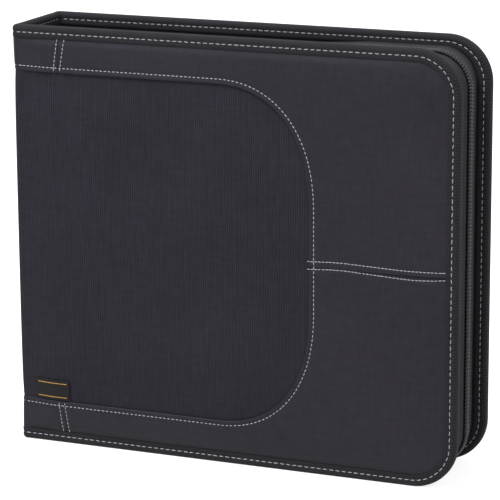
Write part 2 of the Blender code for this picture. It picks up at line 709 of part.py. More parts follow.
SMOOTH_CLOTH = material("smooth_cloth", (55, 53, 58), 0.55)
RIBBED_CLOTH = material("ribbed_cloth", (49, 47, 57), 0.75)
BINDING_CLOTH = material("binding_cloth", (46, 45, 48), 0.80)
WALL_CLOTH = material("wall_cloth", (52, 51, 55), 0.75)
TAPE_CLOTH = material("tape_cloth", (62, 62, 66), 0.80)
TEETH_PLASTIC = material("teeth_plastic", (42, 42, 46), 0.35)
BOARD_CARD = material("board_card", (96, 88, 78), 0.90)
LINING_CLOTH = material("lining_cloth", (40, 40, 43), 0.85)
PAGE_CLOTH = material("page_cloth", (30, 30, 32), 0.90)
SLEEVE_FILM = material("sleeve_film", (150, 152, 155), 0.25)
TAG_CLOTH = material("tag_cloth", (32, 31, 34), 0.70)
SLIDER_METAL = material("slider_metal", (44, 44, 47), 0.40, 0.9)

# Hinges run up the outer corners of the spine; the slider's seat slopes with the zip
FRONT_HINGE = joint_axis("front_hinge", (LEFT, -SKIN_Y, 0.0))
SPINE_HINGE = joint_axis("spine_hinge", (LEFT, SKIN_Y, 0.0))
TILT = math.atan(ZIP_SLOPE)
SEAT_DEPTH = ZIP_DEPTH_SPINE - ZIP_SLOPE * SLIDER_FROM_SPINE + ROW_HEIGHT + SEAT
SLIDER_SEAT = joint_axis("slider_seat", (LEFT + SLIDER_FROM_SPINE, 0.0, CASE_HEIGHT - SEAT_DEPTH), TILT)
PULL_X = LEFT + SLIDER_FROM_SPINE - math.sin(TILT) * BAR_HEIGHT
PULL_Z = CASE_HEIGHT - SEAT_DEPTH + math.cos(TILT) * BAR_HEIGHT
PULL_AXIS = joint_axis("pull_axis", (PULL_X, 0.0, PULL_Z), TILT)

front = [*cover_core(-1, "front_board", "front_lining"), *front_sheets(), ribbed_panel(), tag()]
front += [binding("front_binding", -1), gusset("front_gusset", -1), tape("front_zip_tape", -1)]
front += [teeth("front_zip_teeth", -1)]
for thing in front:
    attach(thing, FRONT_HINGE)

for thing in spine():
    attach(thing, SPINE_HINGE)

cover_core(1, "back_board", "back_lining")
layer("back_sheet", cover_edge(SHEET_EDGE, COVER_LEFT), 1, SKIN_Y, SKIN_THICKNESS, SMOOTH_CLOTH)
binding("back_binding", 1)
gusset("back_gusset", 1)
tape("back_zip_tape", 1)
teeth("back_zip_teeth", 1)
pages()

slider(SLIDER_SEAT)
pull(PULL_AXIS)
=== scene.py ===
# %% [markdown]
# # A zip-round disc storage case
# The part arrives packed, as plain solids on five bodies: the back cover, the spine, the front cover,
# the slider and its pull. This script keeps those places and dresses them in cloth, tape, thread and coil.
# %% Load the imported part
import math

import bpy
import numpy as np
from mathutils import Matrix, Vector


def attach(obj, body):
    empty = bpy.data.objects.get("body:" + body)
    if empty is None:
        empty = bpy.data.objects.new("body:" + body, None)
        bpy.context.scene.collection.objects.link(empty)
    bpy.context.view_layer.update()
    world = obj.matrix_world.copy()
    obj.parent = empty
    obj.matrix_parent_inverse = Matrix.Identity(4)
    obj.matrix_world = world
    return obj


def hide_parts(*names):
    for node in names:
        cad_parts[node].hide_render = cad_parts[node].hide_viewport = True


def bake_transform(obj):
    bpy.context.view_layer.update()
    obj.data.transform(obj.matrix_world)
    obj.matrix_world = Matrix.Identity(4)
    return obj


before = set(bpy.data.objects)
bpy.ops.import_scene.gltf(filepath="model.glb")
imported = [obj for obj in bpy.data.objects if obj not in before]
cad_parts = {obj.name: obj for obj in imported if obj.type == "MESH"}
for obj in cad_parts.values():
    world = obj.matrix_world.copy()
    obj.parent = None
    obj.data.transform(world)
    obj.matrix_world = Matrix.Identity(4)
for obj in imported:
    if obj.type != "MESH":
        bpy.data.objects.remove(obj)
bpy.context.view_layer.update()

# %% [markdown]
# The sizes are those of the solids. A cover is 310 mm wide and 284 mm high, the case is 69 mm thick, and
# the cloth lies a millimetre under the edge tape. Everything else is placed from these.
# %% Sizes of the case
MM = 0.001
LEFT, RIGHT = -155 * MM, 155 * MM
HEIGHT = 284 * MM
MIDDLE_Z = HEIGHT / 2
CORNER = 30 * MM
OUTSIDE, INSIDE = 34.5 * MM, 26.5 * MM
SKIN, LINING = 33.5 * MM, 27.5 * MM
PANEL_LEVEL = 32.9 * MM
SHEET_INSET = 2.9 * MM
TAPE_WIDTH, TAPE_ROUND, TAPE_SEAM = 8 * MM, 2.6 * MM, 4.5 * MM
OPENING_MARGIN = 30 * MM
OPENING_RIGHT = LEFT + 210.5 * MM
OPENING_CORNER = (65 * MM, 80 * MM)
OPENING_SQUARENESS = 2.3
OPENING_SEAM = 3.3 * MM
HINGE_SEAM = LEFT + 33.8 * MM
CROSS_SEAM = 139.5 * MM
FOLD_X, FOLD_Y = -152 * MM, 30.5 * MM
RIBBED_FOLD, SMOOTH_FOLD = 3.0 * MM, 3.3 * MM
SPINE_TAPE_X, SPINE_INNER_X = -155.9 * MM, -150.0 * MM
LINING_X = -151.0 * MM
COVER_TAPE_END, SPINE_TAPE_END = -148 * MM, 24.5 * MM
BOARD_LEFT, BOARD = -152.4 * MM, 32.4 * MM
SIDES = ((-1, "front"), (1, "back"))
RNG = np.random.default_rng(7)
print("cover", (RIGHT - LEFT) / MM, "x", HEIGHT / MM, "mm")

# %% [markdown]
# Cloth, tape and thread all follow curves: the edge of a cover, the edge of an opening, a seam. A curve is
# an array of points, and a place on it is a length along it, so that stitches and threads keep their size
# round every corner. Two easing shapes, a smooth step and a bell, make every swell and dip.
# %% Curves
NEAREST_STEP, NEAREST_BATCH = 0.25 * MM, 1500


def smooth(share):
    """Eases from 0 to 1: three squares less two cubes of the share, held between its ends."""
    held = np.clip(share, 0.0, 1.0)
    return held * held * (3 - 2 * held)


def bell(distance, width):
    """1 at no distance, falling by the square of the distance over the width, as an exponential."""
    return np.exp(-((distance / width) ** 2))


def run_of(points):
    """Length of the way to each point, from the sum of the steps before it."""
    steps = np.linalg.norm(np.diff(points, axis=0), axis=1)
    return np.concatenate([[0.0], np.cumsum(steps)])


def at_lengths(points, places):
    """Points at the given lengths along a curve, straight between the curve's own points."""
    run = run_of(points)
    return np.stack([np.interp(places, run, points[:, k]) for k in range(points.shape[1])], axis=1)


def at_shares(points, shares):
    """Points at the given shares of a curve's length."""
    return at_lengths(points, shares * run_of(points)[-1])


def unit(vectors):
    """Vectors divided by their lengths."""
    return vectors / np.linalg.norm(vectors, axis=-1, keepdims=True)


def offset(points, distance):
    """Moves each (x, z) point sideways by the distance, square to the curve, to the left of its way."""
    way = unit(np.gradient(points, axis=0))
    return points + distance * np.stack([-way[:, 1], way[:, 0]], axis=1)


def gap_to(spots, line):
    """Distance of each spot to the nearest point of a curve, and the length along the curve there."""
    places = np.arange(0.0, run_of(line)[-1], NEAREST_STEP)
    fine = at_lengths(line, places)
    flat = spots.reshape(-1, 2)
    batches = np.array_split(flat, max(1, len(flat) // NEAREST_BATCH))
    squares = (((part[:, None] - fine[None]) ** 2).sum(2) for part in batches)
    nearest = np.concatenate([np.argmin(square, axis=1) for square in squares])
    gap = np.linalg.norm(flat - fine[nearest], axis=1)
    return gap.reshape(spots.shape[:-1]), places[nearest].reshape(spots.shape[:-1])


print("a quarter of the way, the step stands at", smooth(0.25), "and the bell at", round(bell(0.25, 1.0), 3))

# %% [markdown]
# Two outlines rule the case. A cover is a rectangle with two round corners at its opening side. The opening
# in its smooth skin is D-shaped, and its corners are fuller than circles, so they are superellipses.
# %% Outlines of a cover and of its opening


def cover_edge(inset, left):
    """Edge of a cover in (x, z): a line on top, two quarter circles at the opening side, a line below."""
    turn = np.linspace(math.pi / 2, 0.0, 33)
    radius = CORNER - inset
    x = RIGHT - CORNER + radius * np.cos(turn)
    rise = radius * np.sin(turn)
    upper = np.stack([x, HEIGHT - CORNER + rise], axis=1)
    lower = np.stack([x[::-1], CORNER - rise[::-1]], axis=1)
    return np.concatenate([[(left, HEIGHT - inset)], upper, lower, [(left, inset)]])


def opening_edge(grow, left):
    """Edge of the D-shaped opening: at its corners the sides go by a power of sine and cosine."""
    turn = np.linspace(0.0, math.pi / 2, 65)
    power = 2 / OPENING_SQUARENESS
    corner_x, corner_z = OPENING_CORNER
    x = OPENING_RIGHT - corner_x + (corner_x + grow) * np.sin(turn) ** power
    rise = MIDDLE_Z - OPENING_MARGIN - corner_z + (corner_z + grow) * np.clip(np.cos(turn), 0, 1) ** power
    upper = np.stack([x, MIDDLE_Z + rise], axis=1)
    lower = np.stack([x[::-1], MIDDLE_Z - rise[::-1]], axis=1)
    return np.concatenate([[(left, upper[0, 1])], upper, lower, [(left, lower[-1, 1])]])


CLOTH_EDGE, COVER_EDGE = cover_edge(0.0, LEFT), cover_edge(0.0, COVER_TAPE_END)
OPENING = opening_edge(0.0, LEFT)
print("edge", round(run_of(CLOTH_EDGE)[-1] / MM), "mm, opening", round(run_of(OPENING)[-1] / MM), "mm")


def grid_of(*parts):
    """Stacks coordinates, each spread out to the same rows and columns, as the points of a grid."""
    return np.stack(np.broadcast_arrays(*parts), axis=-1)


def standing(flat, y):
    """Points in space over (x, z) ones, at a distance y from the middle of the case."""
    return grid_of(flat[..., 0], y, flat[..., 1])


def finished(thing, body, replaced):
    """Hides the replaced solids, and lets the piece ride on its body."""
    if replaced:
        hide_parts(*replaced)
    if body:
        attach(thing, body)
    return thing


def mesh_object(name, points, faces, finish):
    """Smooth object with one finish, from points and faces, put into the scene."""
    mesh = bpy.data.meshes.new(name)
    mesh.from_pydata(points.reshape(-1, 3).tolist(), [], faces)
    mesh.shade_smooth()
    mesh.materials.append(finish)
    thing = bpy.data.objects.new(name, mesh)
    bpy.context.scene.collection.objects.link(thing)
    return thing


def make_real(thing):
    """Gives the object the mesh that its modifiers make of it, and takes the modifiers away."""
    bpy.context.view_layer.update()
    mesh = bpy.data.meshes.new_from_object(thing.evaluated_get(bpy.context.evaluated_depsgraph_get()))
    thing.modifiers.clear()
    thing.data = mesh


def quads_of(rows, columns, first=0):
    """Faces of a grid whose points are numbered row by row."""
    index = first + np.arange(rows * columns).reshape(rows, columns)
    corners = (index[:-1, :-1], index[1:, :-1], index[1:, 1:], index[:-1, 1:])
    return np.stack(corners, axis=-1).reshape(-1, 4)


def facing_sign(grid, towards):
    """1 where the grid's faces already look the way given, or -1."""
    normal = np.cross(grid[1:, :-1] - grid[:-1, :-1], grid[:-1, 1:] - grid[:-1, :-1])
    return 1 if (normal * towards[:-1, :-1]).sum() > 0 else -1


def threads_of(grid, flat):
    """UV of a grid, in metres: lengths along its rows and columns, or x and z where the cloth is flat."""
    if flat:
        return np.stack([grid[..., 2], grid[..., 0]], axis=2)
    down = np.linalg.norm(np.diff(grid, axis=0, prepend=grid[:1]), axis=2).cumsum(axis=0)
    over = np.linalg.norm(np.diff(grid, axis=1, prepend=grid[:, :1]), axis=2).cumsum(axis=1)
    return np.stack([down, over], axis=2)


def cloth_piece(name, grids, towards, finish, body, replaced=(), thickness=0.6 * MM, flat=False):
    """Sheet of one grid or several, its faces turned the way given, made thick on the other side."""
    if isinstance(grids, np.ndarray):
        grids, towards = [grids], [towards]
    quads, first = [], 0
    for grid, outward in zip(grids, towards):
        faces = quads_of(*grid.shape[:2], first)
        turned = facing_sign(grid, np.broadcast_to(outward, grid.shape)) > 0
        quads.append(faces if turned else faces[:, ::-1])
        first += grid.shape[0] * grid.shape[1]
    quads = np.concatenate(quads)
    points = np.concatenate([grid.reshape(-1, 3) for grid in grids])
    cloth = np.concatenate([threads_of(grid, flat).reshape(-1, 2) for grid in grids])
    thing = mesh_object(name, points, quads.tolist(), finish)
    layer = thing.data.uv_layers.new(name="Cloth")
    layer.data.foreach_set("uv", cloth[quads.ravel()].ravel().astype(np.float32))
    shell = thing.modifiers.new("thickness", "SOLIDIFY")
    shell.thickness = thickness
    shell.offset = -1.0
    make_real(thing)
    thing.data.set_sharp_from_angle(angle=math.radians(50))
    return finished(thing, body, replaced)


# %% [markdown]
# Thread shows as short, bowed stitches with a gap between them. A dashed texture would do from far away,
# but each stitch catches the light by itself, so it is a slim tube whose ends dip into the cloth. All the
# stitches of a seam are worked out together, as one array of rings, a little uneven as real ones are.
# %% Thread
THREAD_RADIUS = 0.30 * MM
STITCH_RINGS, STITCH_SIDES = 8, 6
STITCH_LEAN = 0.10 * MM


def stitches(paths, outwards, pitch, length):
    """Rings of every stitch: centres on the path, bowed out by a half sine, thinner at the ends."""
    share = np.linspace(0.0, 1.0, STITCH_RINGS)
    turn = np.linspace(0.0, 2 * math.pi, STITCH_SIDES, endpoint=False)
    made = []
    for path, outward in zip(paths, outwards):
        way = run_of(path)
        total = way[-1]
        count = int(total / pitch)
        starts = (np.arange(count) + 0.1) * total / count + RNG.normal(0.0, 0.02 * pitch, count)
        sizes = length * RNG.normal(1.0, 0.05, count)
        places = np.clip(starts, 0.0, total - sizes)[:, None] + sizes[:, None] * share
        centre = at_lengths(path, places.ravel()).reshape(count, STITCH_RINGS, 3)
        out = unit(np.stack([np.interp(places, way, outward[:, k]) for k in range(3)], axis=2))
        side = np.cross(unit(np.gradient(centre, axis=1)), out)
        lean = RNG.normal(0.0, STITCH_LEAN, count)[:, None] * (share - 0.5) * 2
        bow = THREAD_RADIUS * (1.1 * np.sin(math.pi * share) ** 0.6 - 0.75)
        centre = centre + out * bow[None, :, None] + side * lean[:, :, None]
        radius = THREAD_RADIUS * (1 - 0.55 * np.abs(2 * share - 1) ** 3)
        ring = side[:, :, None] * np.cos(turn)[:, None] + out[:, :, None] * np.sin(turn)[:, None]
        made.append(centre[:, :, None] + ring * radius[None, :, None, None])
    return np.concatenate(made)


def tube_piece(name, rings, finish, body, replaced=()):
    """One mesh of closed tubes from the rings, each end shut by one face."""
    count, along, around = rings.shape[:3]
    index = np.arange(count * along * around).reshape(count, along, around)
    after = np.roll(index, -1, axis=2)
    corners = (index[:, :-1], after[:, :-1], after[:, 1:], index[:, 1:])
    sides = np.stack(corners, axis=-1).reshape(-1, 4)
    ends = np.concatenate([index[:, 0, ::-1], index[:, -1]])
    thing = mesh_object(name, rings, sides.tolist() + ends.tolist(), finish)
    return finished(thing, body, replaced)


print("thread", 2 * THREAD_RADIUS / MM, "mm thick")

# %% [markdown]
# Several cloths share the same effects, so each effect is a node group that puts out only a height or a
# tone: threads that cross, uneven ribs, and cloudy wear. The finishes place them with their own thread
# counts. Waves and noise are used in place of pictures, so a weave stays sharp at any distance.
# %% Helpers for node groups


def add(tree, kind, sockets=(), **settings):
    """Adds a node, sets it up, and links each named socket to another or gives it a plain value."""
    node = tree.nodes.new("ShaderNode" + kind)
    for label, value in settings.items():
        setattr(node, label, value)
    for label, value in dict(sockets).items():
        if isinstance(value, bpy.types.NodeSocket):
            tree.links.new(value, node.inputs[label])
        else:
            node.inputs[label].default_value = value
    return node.outputs


def calc(tree, operation, *values):
    """The result of a Math node on the given sockets or numbers."""
    return add(tree, "Math", enumerate(values), operation=operation)[0]


def effect(name, inputs, outputs):
    """Empty node group with a Vector input and the named number inputs and outputs."""
    tree = bpy.data.node_groups.new(name, "ShaderNodeTree")
    tree.interface.new_socket(name="Vector", in_out="INPUT", socket_type="NodeSocketVector")
    for label, value in inputs.items():
        socket = tree.interface.new_socket(name=label, in_out="INPUT", socket_type="NodeSocketFloat")
        socket.default_value = value
    for label in outputs:
        tree.interface.new_socket(name=label, in_out="OUTPUT", socket_type="NodeSocketFloat")
    return tree, tree.nodes.new("NodeGroupInput").outputs, tree.nodes.new("NodeGroupOutput").inputs


def parts_of(tree, vector):
    """A vector's three parts."""
    return add(tree, "SeparateXYZ", {"Vector": vector})


def scaled(tree, vector, along, across):
    """The vector's first two parts multiplied by two values, as a new vector."""
    parts = parts_of(tree, vector)
    products = [calc(tree, "MULTIPLY", part, value) for part, value in zip(parts, (along, across))]
    return add(tree, "CombineXYZ", enumerate(products))[0]


def noise(tree, vector, scale, detail=3.0):
    """Cloudy noise between 0 and 1."""
    return add(tree, "TexNoise", {"Vector": vector, "Scale": scale, "Detail": detail})[0]


def cosine(tree, turns):
    """Cosine of a number of whole turns."""
    return calc(tree, "COSINE", calc(tree, "MULTIPLY", turns, 2 * math.pi))


# %% [markdown]
# Woven cloth has bumps where threads cross, and faint streaks where some threads are thicker. Ribbed cloth
# has ridges that waver and fade. Wear is broad and fine cloudiness.
# %% Shared effects


def weave_effect():
    """Height is the product of two cosines, like crossed threads. Tone is the sum of streaks both ways."""
    inputs = {"Along": 2000.0, "Across": 2000.0, "Streaks": 420.0}
    tree, given, put = effect("crossed_threads", inputs, ("Height", "Tone"))
    parts = parts_of(tree, given["Vector"])
    counts = (given["Along"], given["Across"])
    waves = [cosine(tree, calc(tree, "MULTIPLY", part, count)) for part, count in zip(parts, counts)]
    product = calc(tree, "MULTIPLY", *waves)
    tree.links.new(calc(tree, "MULTIPLY_ADD", product, 0.5, 0.5), put["Height"])
    lengthwise = scaled(tree, given["Vector"], 70.0, given["Streaks"])
    crosswise = scaled(tree, given["Vector"], given["Streaks"], 70.0)
    tone = calc(tree, "ADD", noise(tree, lengthwise, 1.0, 1.0), noise(tree, crosswise, 1.0, 1.0))
    tree.links.new(calc(tree, "MULTIPLY_ADD", tone, 1.1, -0.6), put["Tone"])
    return tree


def rib_effect():
    """Height is a cosine of the place across, bent a little by noise, times an uneven strength."""
    tree, given, put = effect("uneven_ribs", {"Ribs": 700.0, "Unevenness": 0.25}, ("Height",))
    bent = scaled(tree, given["Vector"], 60.0, 900.0)
    either_way = calc(tree, "SUBTRACT", noise(tree, bent, 1.0), 0.5)
    wander = calc(tree, "MULTIPLY", either_way, given["Unevenness"])
    across = parts_of(tree, given["Vector"])[1]
    place = calc(tree, "ADD", calc(tree, "MULTIPLY", across, given["Ribs"]), wander)
    wave = calc(tree, "MULTIPLY_ADD", cosine(tree, place), 0.5, 0.5)
    strength = calc(tree, "MULTIPLY_ADD", noise(tree, bent, 0.6), 0.9, 0.35)
    tree.links.new(calc(tree, "MULTIPLY", wave, strength), put["Height"])
    return tree


def cloud_effect():
    """Tone from broad and fine noise, stretched so that it fills 0 to 1."""
    tree, given, put = effect("cloudy_wear", {"Broad": 14.0, "Fine": 160.0}, ("Tone",))
    broad = noise(tree, scaled(tree, given["Vector"], given["Broad"], given["Broad"]), 1.0)
    fine = noise(tree, scaled(tree, given["Vector"], given["Fine"], given["Fine"]), 1.0)
    total = calc(tree, "MULTIPLY_ADD", fine, 0.35, calc(tree, "MULTIPLY", broad, 0.65))
    spread = add(tree, "MapRange", {"Value": total, "From Min": 0.34, "From Max": 0.66})
    tree.links.new(spread[0], put["Tone"])
    return tree


WEAVE, RIBS, CLOUDS = weave_effect(), rib_effect(), cloud_effect()
print("effects:", WEAVE.name, RIBS.name, CLOUDS.name)

# %% [markdown]
# Each finish is one Principled shader: a dark and a light colour mixed by the effects, a bump from the
# threads, and its gloss and sheen as plain numbers on the shader's own sockets. The threads' height also
# paints light on their crests and shade in their grooves into the colour. Nylon is dull, so its specular
# level is low.
# %% Kinds of finish


def srgb(red, green, blue):
    """Linear colour of an 8-bit sRGB one: a straight part near black, then a power of 2.4."""
    value = np.array([red, green, blue]) / 255
    linear = np.where(value <= 0.04045, value / 12.92, ((value + 0.055) / 1.055) ** 2.4)
    return (*linear.tolist(), 1.0)


def blank(name, **values):
    """New material, its shader, and the plain values set on the shader's sockets."""
    made = bpy.data.materials.new(name)
    made.use_nodes = True
    shader = made.node_tree.nodes["Principled BSDF"]
    for label, value in values.items():
        shader.inputs[label.replace("_", " ").title().replace("Ior", "IOR")].default_value = value
    return made, made.node_tree, shader


def use(tree, effect_tree, vector, **values):
    """The outputs of an effect, placed in a material with its own numbers."""
    return add(tree, "Group", {"Vector": vector, **values}, node_tree=effect_tree)


def mixed(tree, share, dark, light):
    """A colour between a dark and a light one, by a share."""
    sockets = {"A": srgb(*dark), "B": srgb(*light), "Factor": share}
    return add(tree, "Mix", sockets, data_type="RGBA")["Result"]


def blended(tree, over, under, share):
    """A share of one value and the rest of the other."""
    return calc(tree, "MULTIPLY_ADD", over, share, calc(tree, "MULTIPLY", under, 1 - share))


def bumped(tree, shader, height, distance):
    """Tilts a shader's normal by the slopes of a height, in metres."""
    bump = add(tree, "Bump", {"Height": height, "Distance": distance, "Strength": 1.0})
    tree.links.new(bump[0], shader.inputs["Normal"])


def cloth_finish(name, dark, light, threads, bump, roughness, ribs=None, broad=14.0, painted_relief_shade=0.25, sheen=0.02):
    """Woven cloth: tone from clouds and streaks, with painted light on the crests of threads and ribs and
    painted shade in their grooves; height from threads and ribs.
    """
    nap = {"sheen_weight": sheen, "sheen_roughness": 0.4, "specular_ior_level": 0.12}
    made, tree, shader = blank(name, roughness=roughness, **nap)
    place = add(tree, "UVMap", uv_map="Cloth")[0]
    weave = use(tree, WEAVE, place, Along=threads[0], Across=threads[1])
    clouds = use(tree, CLOUDS, place, Broad=broad, Fine=190.0)
    tone = calc(tree, "MULTIPLY_ADD", weave["Tone"], 0.6, calc(tree, "MULTIPLY", clouds["Tone"], 0.4))
    # The threads' height also sets the colour: painted light on their crests, painted shade in the grooves
    # between them.
    tone = blended(tree, weave["Height"], tone, painted_relief_shade)
    height = weave["Height"]
    if ribs:
        lines = use(tree, RIBS, place, Ribs=ribs, Unevenness=0.3)
        # The ribs' height sets the colour too: painted light on the ridges, painted shade in the hollows.
        tone = blended(tree, lines["Height"], tone, 0.5)
        height = calc(tree, "MULTIPLY_ADD", lines["Height"], 1.2, calc(tree, "MULTIPLY", height, 0.5))
    tree.links.new(mixed(tree, tone, dark, light), shader.inputs["Base Color"])
    bumped(tree, shader, height, bump)
    return made


def spotted_finish(name, dark, light, scale, bump, **values):
    """Finish without threads: noise on the object's own coordinates tints the colour and gives the bump."""
    made, tree, shader = blank(name, **values)
    grain = noise(tree, add(tree, "TexCoord")["Object"], scale, 5.0)
    tree.links.new(mixed(tree, grain, dark, light), shader.inputs["Base Color"])
    bumped(tree, shader, grain, bump)
    return made


print("a colour of 128 is", round(srgb(128, 128, 128)[0], 3), "in linear light")

# %% [markdown]
# The smooth cloth is fine and a little shiny, the ribbed one coarse, and the edge tape is coarse grosgrain
# with deep grooves, whose shade is painted nearly black into its colour while its crests are painted light.
# The zip's tape is a plain weave. The colours are near black with a touch of violet, and the thread is light
# grey.
# Clear film needs no colour, only a low alpha and a slightly wavy face.
# %% Finishes
FINE, PLAIN, COARSE = (2600.0, 2600.0), (1100.0, 1100.0), (700.0, 900.0)
SATIN = (2000.0, 900.0)
# The share of thread and rib height in each colour is painted light and shade; the edge tape and the zip's
# tape have the most, so their grooves are painted near black.
SMOOTH = cloth_finish("smooth_cloth", (24, 23, 29), (42, 40, 47), FINE, 0.04 * MM, 0.50, broad=11.0)
RIBBED = cloth_finish("ribbed_cloth", (16, 15, 20), (48, 46, 55), COARSE, 0.10 * MM, 0.78, 640.0, 16.0)
EDGE = cloth_finish("binding_cloth", (5, 5, 6), (50, 48, 53), (500.0, 520.0), 0.34 * MM, 0.80, painted_relief_shade=0.75)
WALL = cloth_finish("wall_cloth", (24, 24, 26), (44, 44, 47), PLAIN, 0.06 * MM, 0.60)
TAPE = cloth_finish("tape_cloth", (16, 16, 18), (60, 60, 63), (520.0, 480.0), 0.20 * MM, 0.80, painted_relief_shade=0.6)
INNER = cloth_finish("lining_cloth", (20, 20, 23), (38, 38, 42), (1400.0, 1400.0), 0.06 * MM, 0.85)
LEAF = cloth_finish("page_cloth", (16, 16, 18), (36, 36, 40), (700.0, 700.0), 0.06 * MM, 0.90)
LABEL = cloth_finish("tag_cloth", (12, 12, 13), (28, 27, 31), SATIN, 0.05 * MM, 0.55, sheen=0.05)
LABEL_LINE = cloth_finish("tag_line", (150, 116, 50), (196, 158, 82), SATIN, 0.05 * MM, 0.55, sheen=0.05)
THREAD = spotted_finish(
    "thread", (126, 123, 130), (178, 175, 182), 2500.0, 0.05 * MM, roughness=0.65, specular_ior_level=0.2
)
COIL = spotted_finish(
    "zip_coil", (36, 36, 39), (56, 56, 59), 900.0, 0.02 * MM, roughness=0.45, specular_ior_level=0.3
)
CARD = spotted_finish("board_card", (84, 76, 66), (112, 102, 90), 500.0, 0.05 * MM, roughness=0.9)
PAINTED = spotted_finish(
    "slider_metal", (30, 30, 33), (48, 48, 52), 700.0, 0.02 * MM, roughness=0.36, metallic=0.6
)
FILM, film_tree, film = blank("sleeve_film", roughness=0.18, alpha=0.32, base_color=srgb(196, 198, 202))
film_grain = noise(film_tree, add(film_tree, "TexCoord")["Object"], 60.0, 2.0)
bumped(film_tree, film, film_grain, 0.5 * MM)
print("finishes:", len(bpy.data.materials))

# %% [markdown]
# The front is cloth sewn over a thin layer of foam, so it swells between its seams and is drawn down along
# each of them. Foam 2 to 3 mm thick over a stiff board is too thin for a cloth simulation to show, so its
# height is a function of the place. The sheets and the thread both ask that function, so the thread always
# lies in its seam. The double rows waver a little, as they were sewn by hand and eye.
# %% Seams of the front
OPENING_STITCH = offset(at_lengths(OPENING, np.arange(0.0, run_of(OPENING)[-1], 2 * MM)), OPENING_SEAM)
CROSS_X = (54.0, 70.0, 80.0, 92.0, 104.0, 117.0, 127.0, 137.0, 147.3)
CROSS_Z = (
    (143.0, 143.9, 144.0, 143.6, 143.2, 142.8, 142.8, 142.9, 143.1),
    (137.9, 139.0, 139.1, 138.6, 138.0, 137.4, 137.2, 137.6, 138.4),
)
CROSS_ROWS = [np.column_stack([CROSS_X, heights]) * MM for heights in CROSS_Z]
HINGE_ROWS = [
    np.array([(-122.0 * MM, 276.5 * MM), (-124.2 * MM, 254.6 * MM)]),
    np.array([(-116.9 * MM, 276.5 * MM), (-119.6 * MM, 254.6 * MM)]),
    np.array([(-125.7 * MM, 29.4 * MM), (-123.6 * MM, 7.6 * MM)]),
    np.array([(-121.5 * MM, 29.4 * MM), (-119.2 * MM, 7.6 * MM)]),
]
SEAM_PITCH, SEAM_STITCH = 3.0 * MM, 2.3 * MM
ROW_PITCH, ROW_STITCH = 2.5 * MM, 2.3 * MM
TAPE_PITCH, TAPE_STITCH = 4.3 * MM, 3.3 * MM
print("rows:", len(CROSS_ROWS), "across,", len(HINGE_ROWS), "beside the hinge")

# %% [markdown]
# The height has four parts: the foam, which rises beside the tape, a swell between seams, a dip with small
# puckers at each seam, and the rolled edge of the opening. The spine's cloth stands out between its seams.
# %% Height of the front's cloth
PUFF, FOAM = 0.9 * MM, 2.6 * MM
FOAM_START, FOAM_SLOPE = 6 * MM, 30 * MM
SEAM_DIP, SEAM_WIDTH, PUCKER = 0.62, 1.5 * MM, 0.05 * MM
ROLL_DEPTH, ROLL_WIDTH = 1.0 * MM, 1.3 * MM
PINCH, BULGE = 0.4 * MM, 0.5 * MM


def pucker(gap, place):
    """Small ripples beside a seam: a cosine along it that dies away within a few millimetres."""
    return PUCKER * np.cos(2 * math.pi * place / SEAM_PITCH) * np.exp(-gap / (2.2 * MM))


def swell(spots):
    """Slow waves of a soft cover, from three sines of the place, between about -1 and 1."""
    x, z = spots[..., 0], spots[..., 1]
    return (np.sin(31 * x + 17 * z + 1) + np.sin(-23 * x + 41 * z) + np.sin(57 * x + 12 * z + 2)) / 3


def foam_rise(spots, edge):
    """Height of the foam under the front: a parabola, steepest beside the tape, level further in."""
    share = np.clip((edge - FOAM_START) / FOAM_SLOPE, 0.0, 1.0)
    return FOAM * (1 - (1 - share) ** 2) * smooth((spots[..., 0] - FOLD_X) / (26 * MM))


def rolled(gap):
    """How far a folded edge turns in, by the distance from it: a quarter of an ellipse."""
    return ROLL_DEPTH * (1 - np.sqrt(1 - (1 - np.clip(gap / ROLL_WIDTH, 0.0, 1.0)) ** 2))


def front_rise(spots):
    """Height of the smooth cloth over the sewn level."""
    edge, _ = gap_to(spots, CLOTH_EDGE)
    rise = PUFF * smooth((edge - 7.6 * MM) / (5 * MM)) * (1 + 0.12 * swell(spots))
    for line in [OPENING_STITCH, *CROSS_ROWS, *HINGE_ROWS]:
        gap, place = gap_to(spots, line)
        rise = rise * (1 - SEAM_DIP * bell(gap, SEAM_WIDTH)) + pucker(gap, place)
    opening, _ = gap_to(spots, OPENING)
    return rise - rolled(opening) + foam_rise(spots, edge)


def fold_shape(z):
    """How far the spine's cloth stands out: pulled in at the opening's seams, bulging between them."""
    gap = np.minimum(np.abs(z - OPENING_MARGIN), np.abs(z - HEIGHT + OPENING_MARGIN))
    return BULGE * (1 - np.exp(-gap / (25 * MM))) - PINCH * np.exp(-gap / (7 * MM))


def front_points(spots):
    """The smooth cloth's (x, y, z) points over (x, z) spots."""
    return standing(spots, -SKIN - front_rise(spots))


print("foam", FOAM / MM, "mm, reached over", FOAM_SLOPE / MM, "mm")

# %% [markdown]
# Two smooth sheets cover the front right of the hinge's seam, and meet in the double row. Each lies between
# the opening's edge and the cover's edge. Its grid joins equal shares of the two curves, with rows close
# together at the folded edge and at the seam, where the cloth turns most.
# %% Smooth sheets of the front
OUT_FRONT = np.array([0.0, -1.0, 0.0])
NEAR = np.array([0.0, 0.15, 0.35, 0.6, 0.9, 1.3, 1.8, 2.3, 2.8, 3.3, 3.8, 4.3, 5.0, 6.0]) * MM
SHEET_EDGE = cover_edge(SHEET_INSET, LEFT)
END_STEP, END_REACH, SIDE_STEP = 0.45 * MM, 6 * MM, 1.0 * MM


def part_of(line, upper):
    """The upper or the lower part of a curve, right of the hinge's seam, sampled finely."""
    fine = at_lengths(line, np.linspace(0.0, run_of(line)[-1], 1400))
    return fine[(fine[:, 0] > HINGE_SEAM) & ((fine[:, 1] > CROSS_SEAM) == upper)]


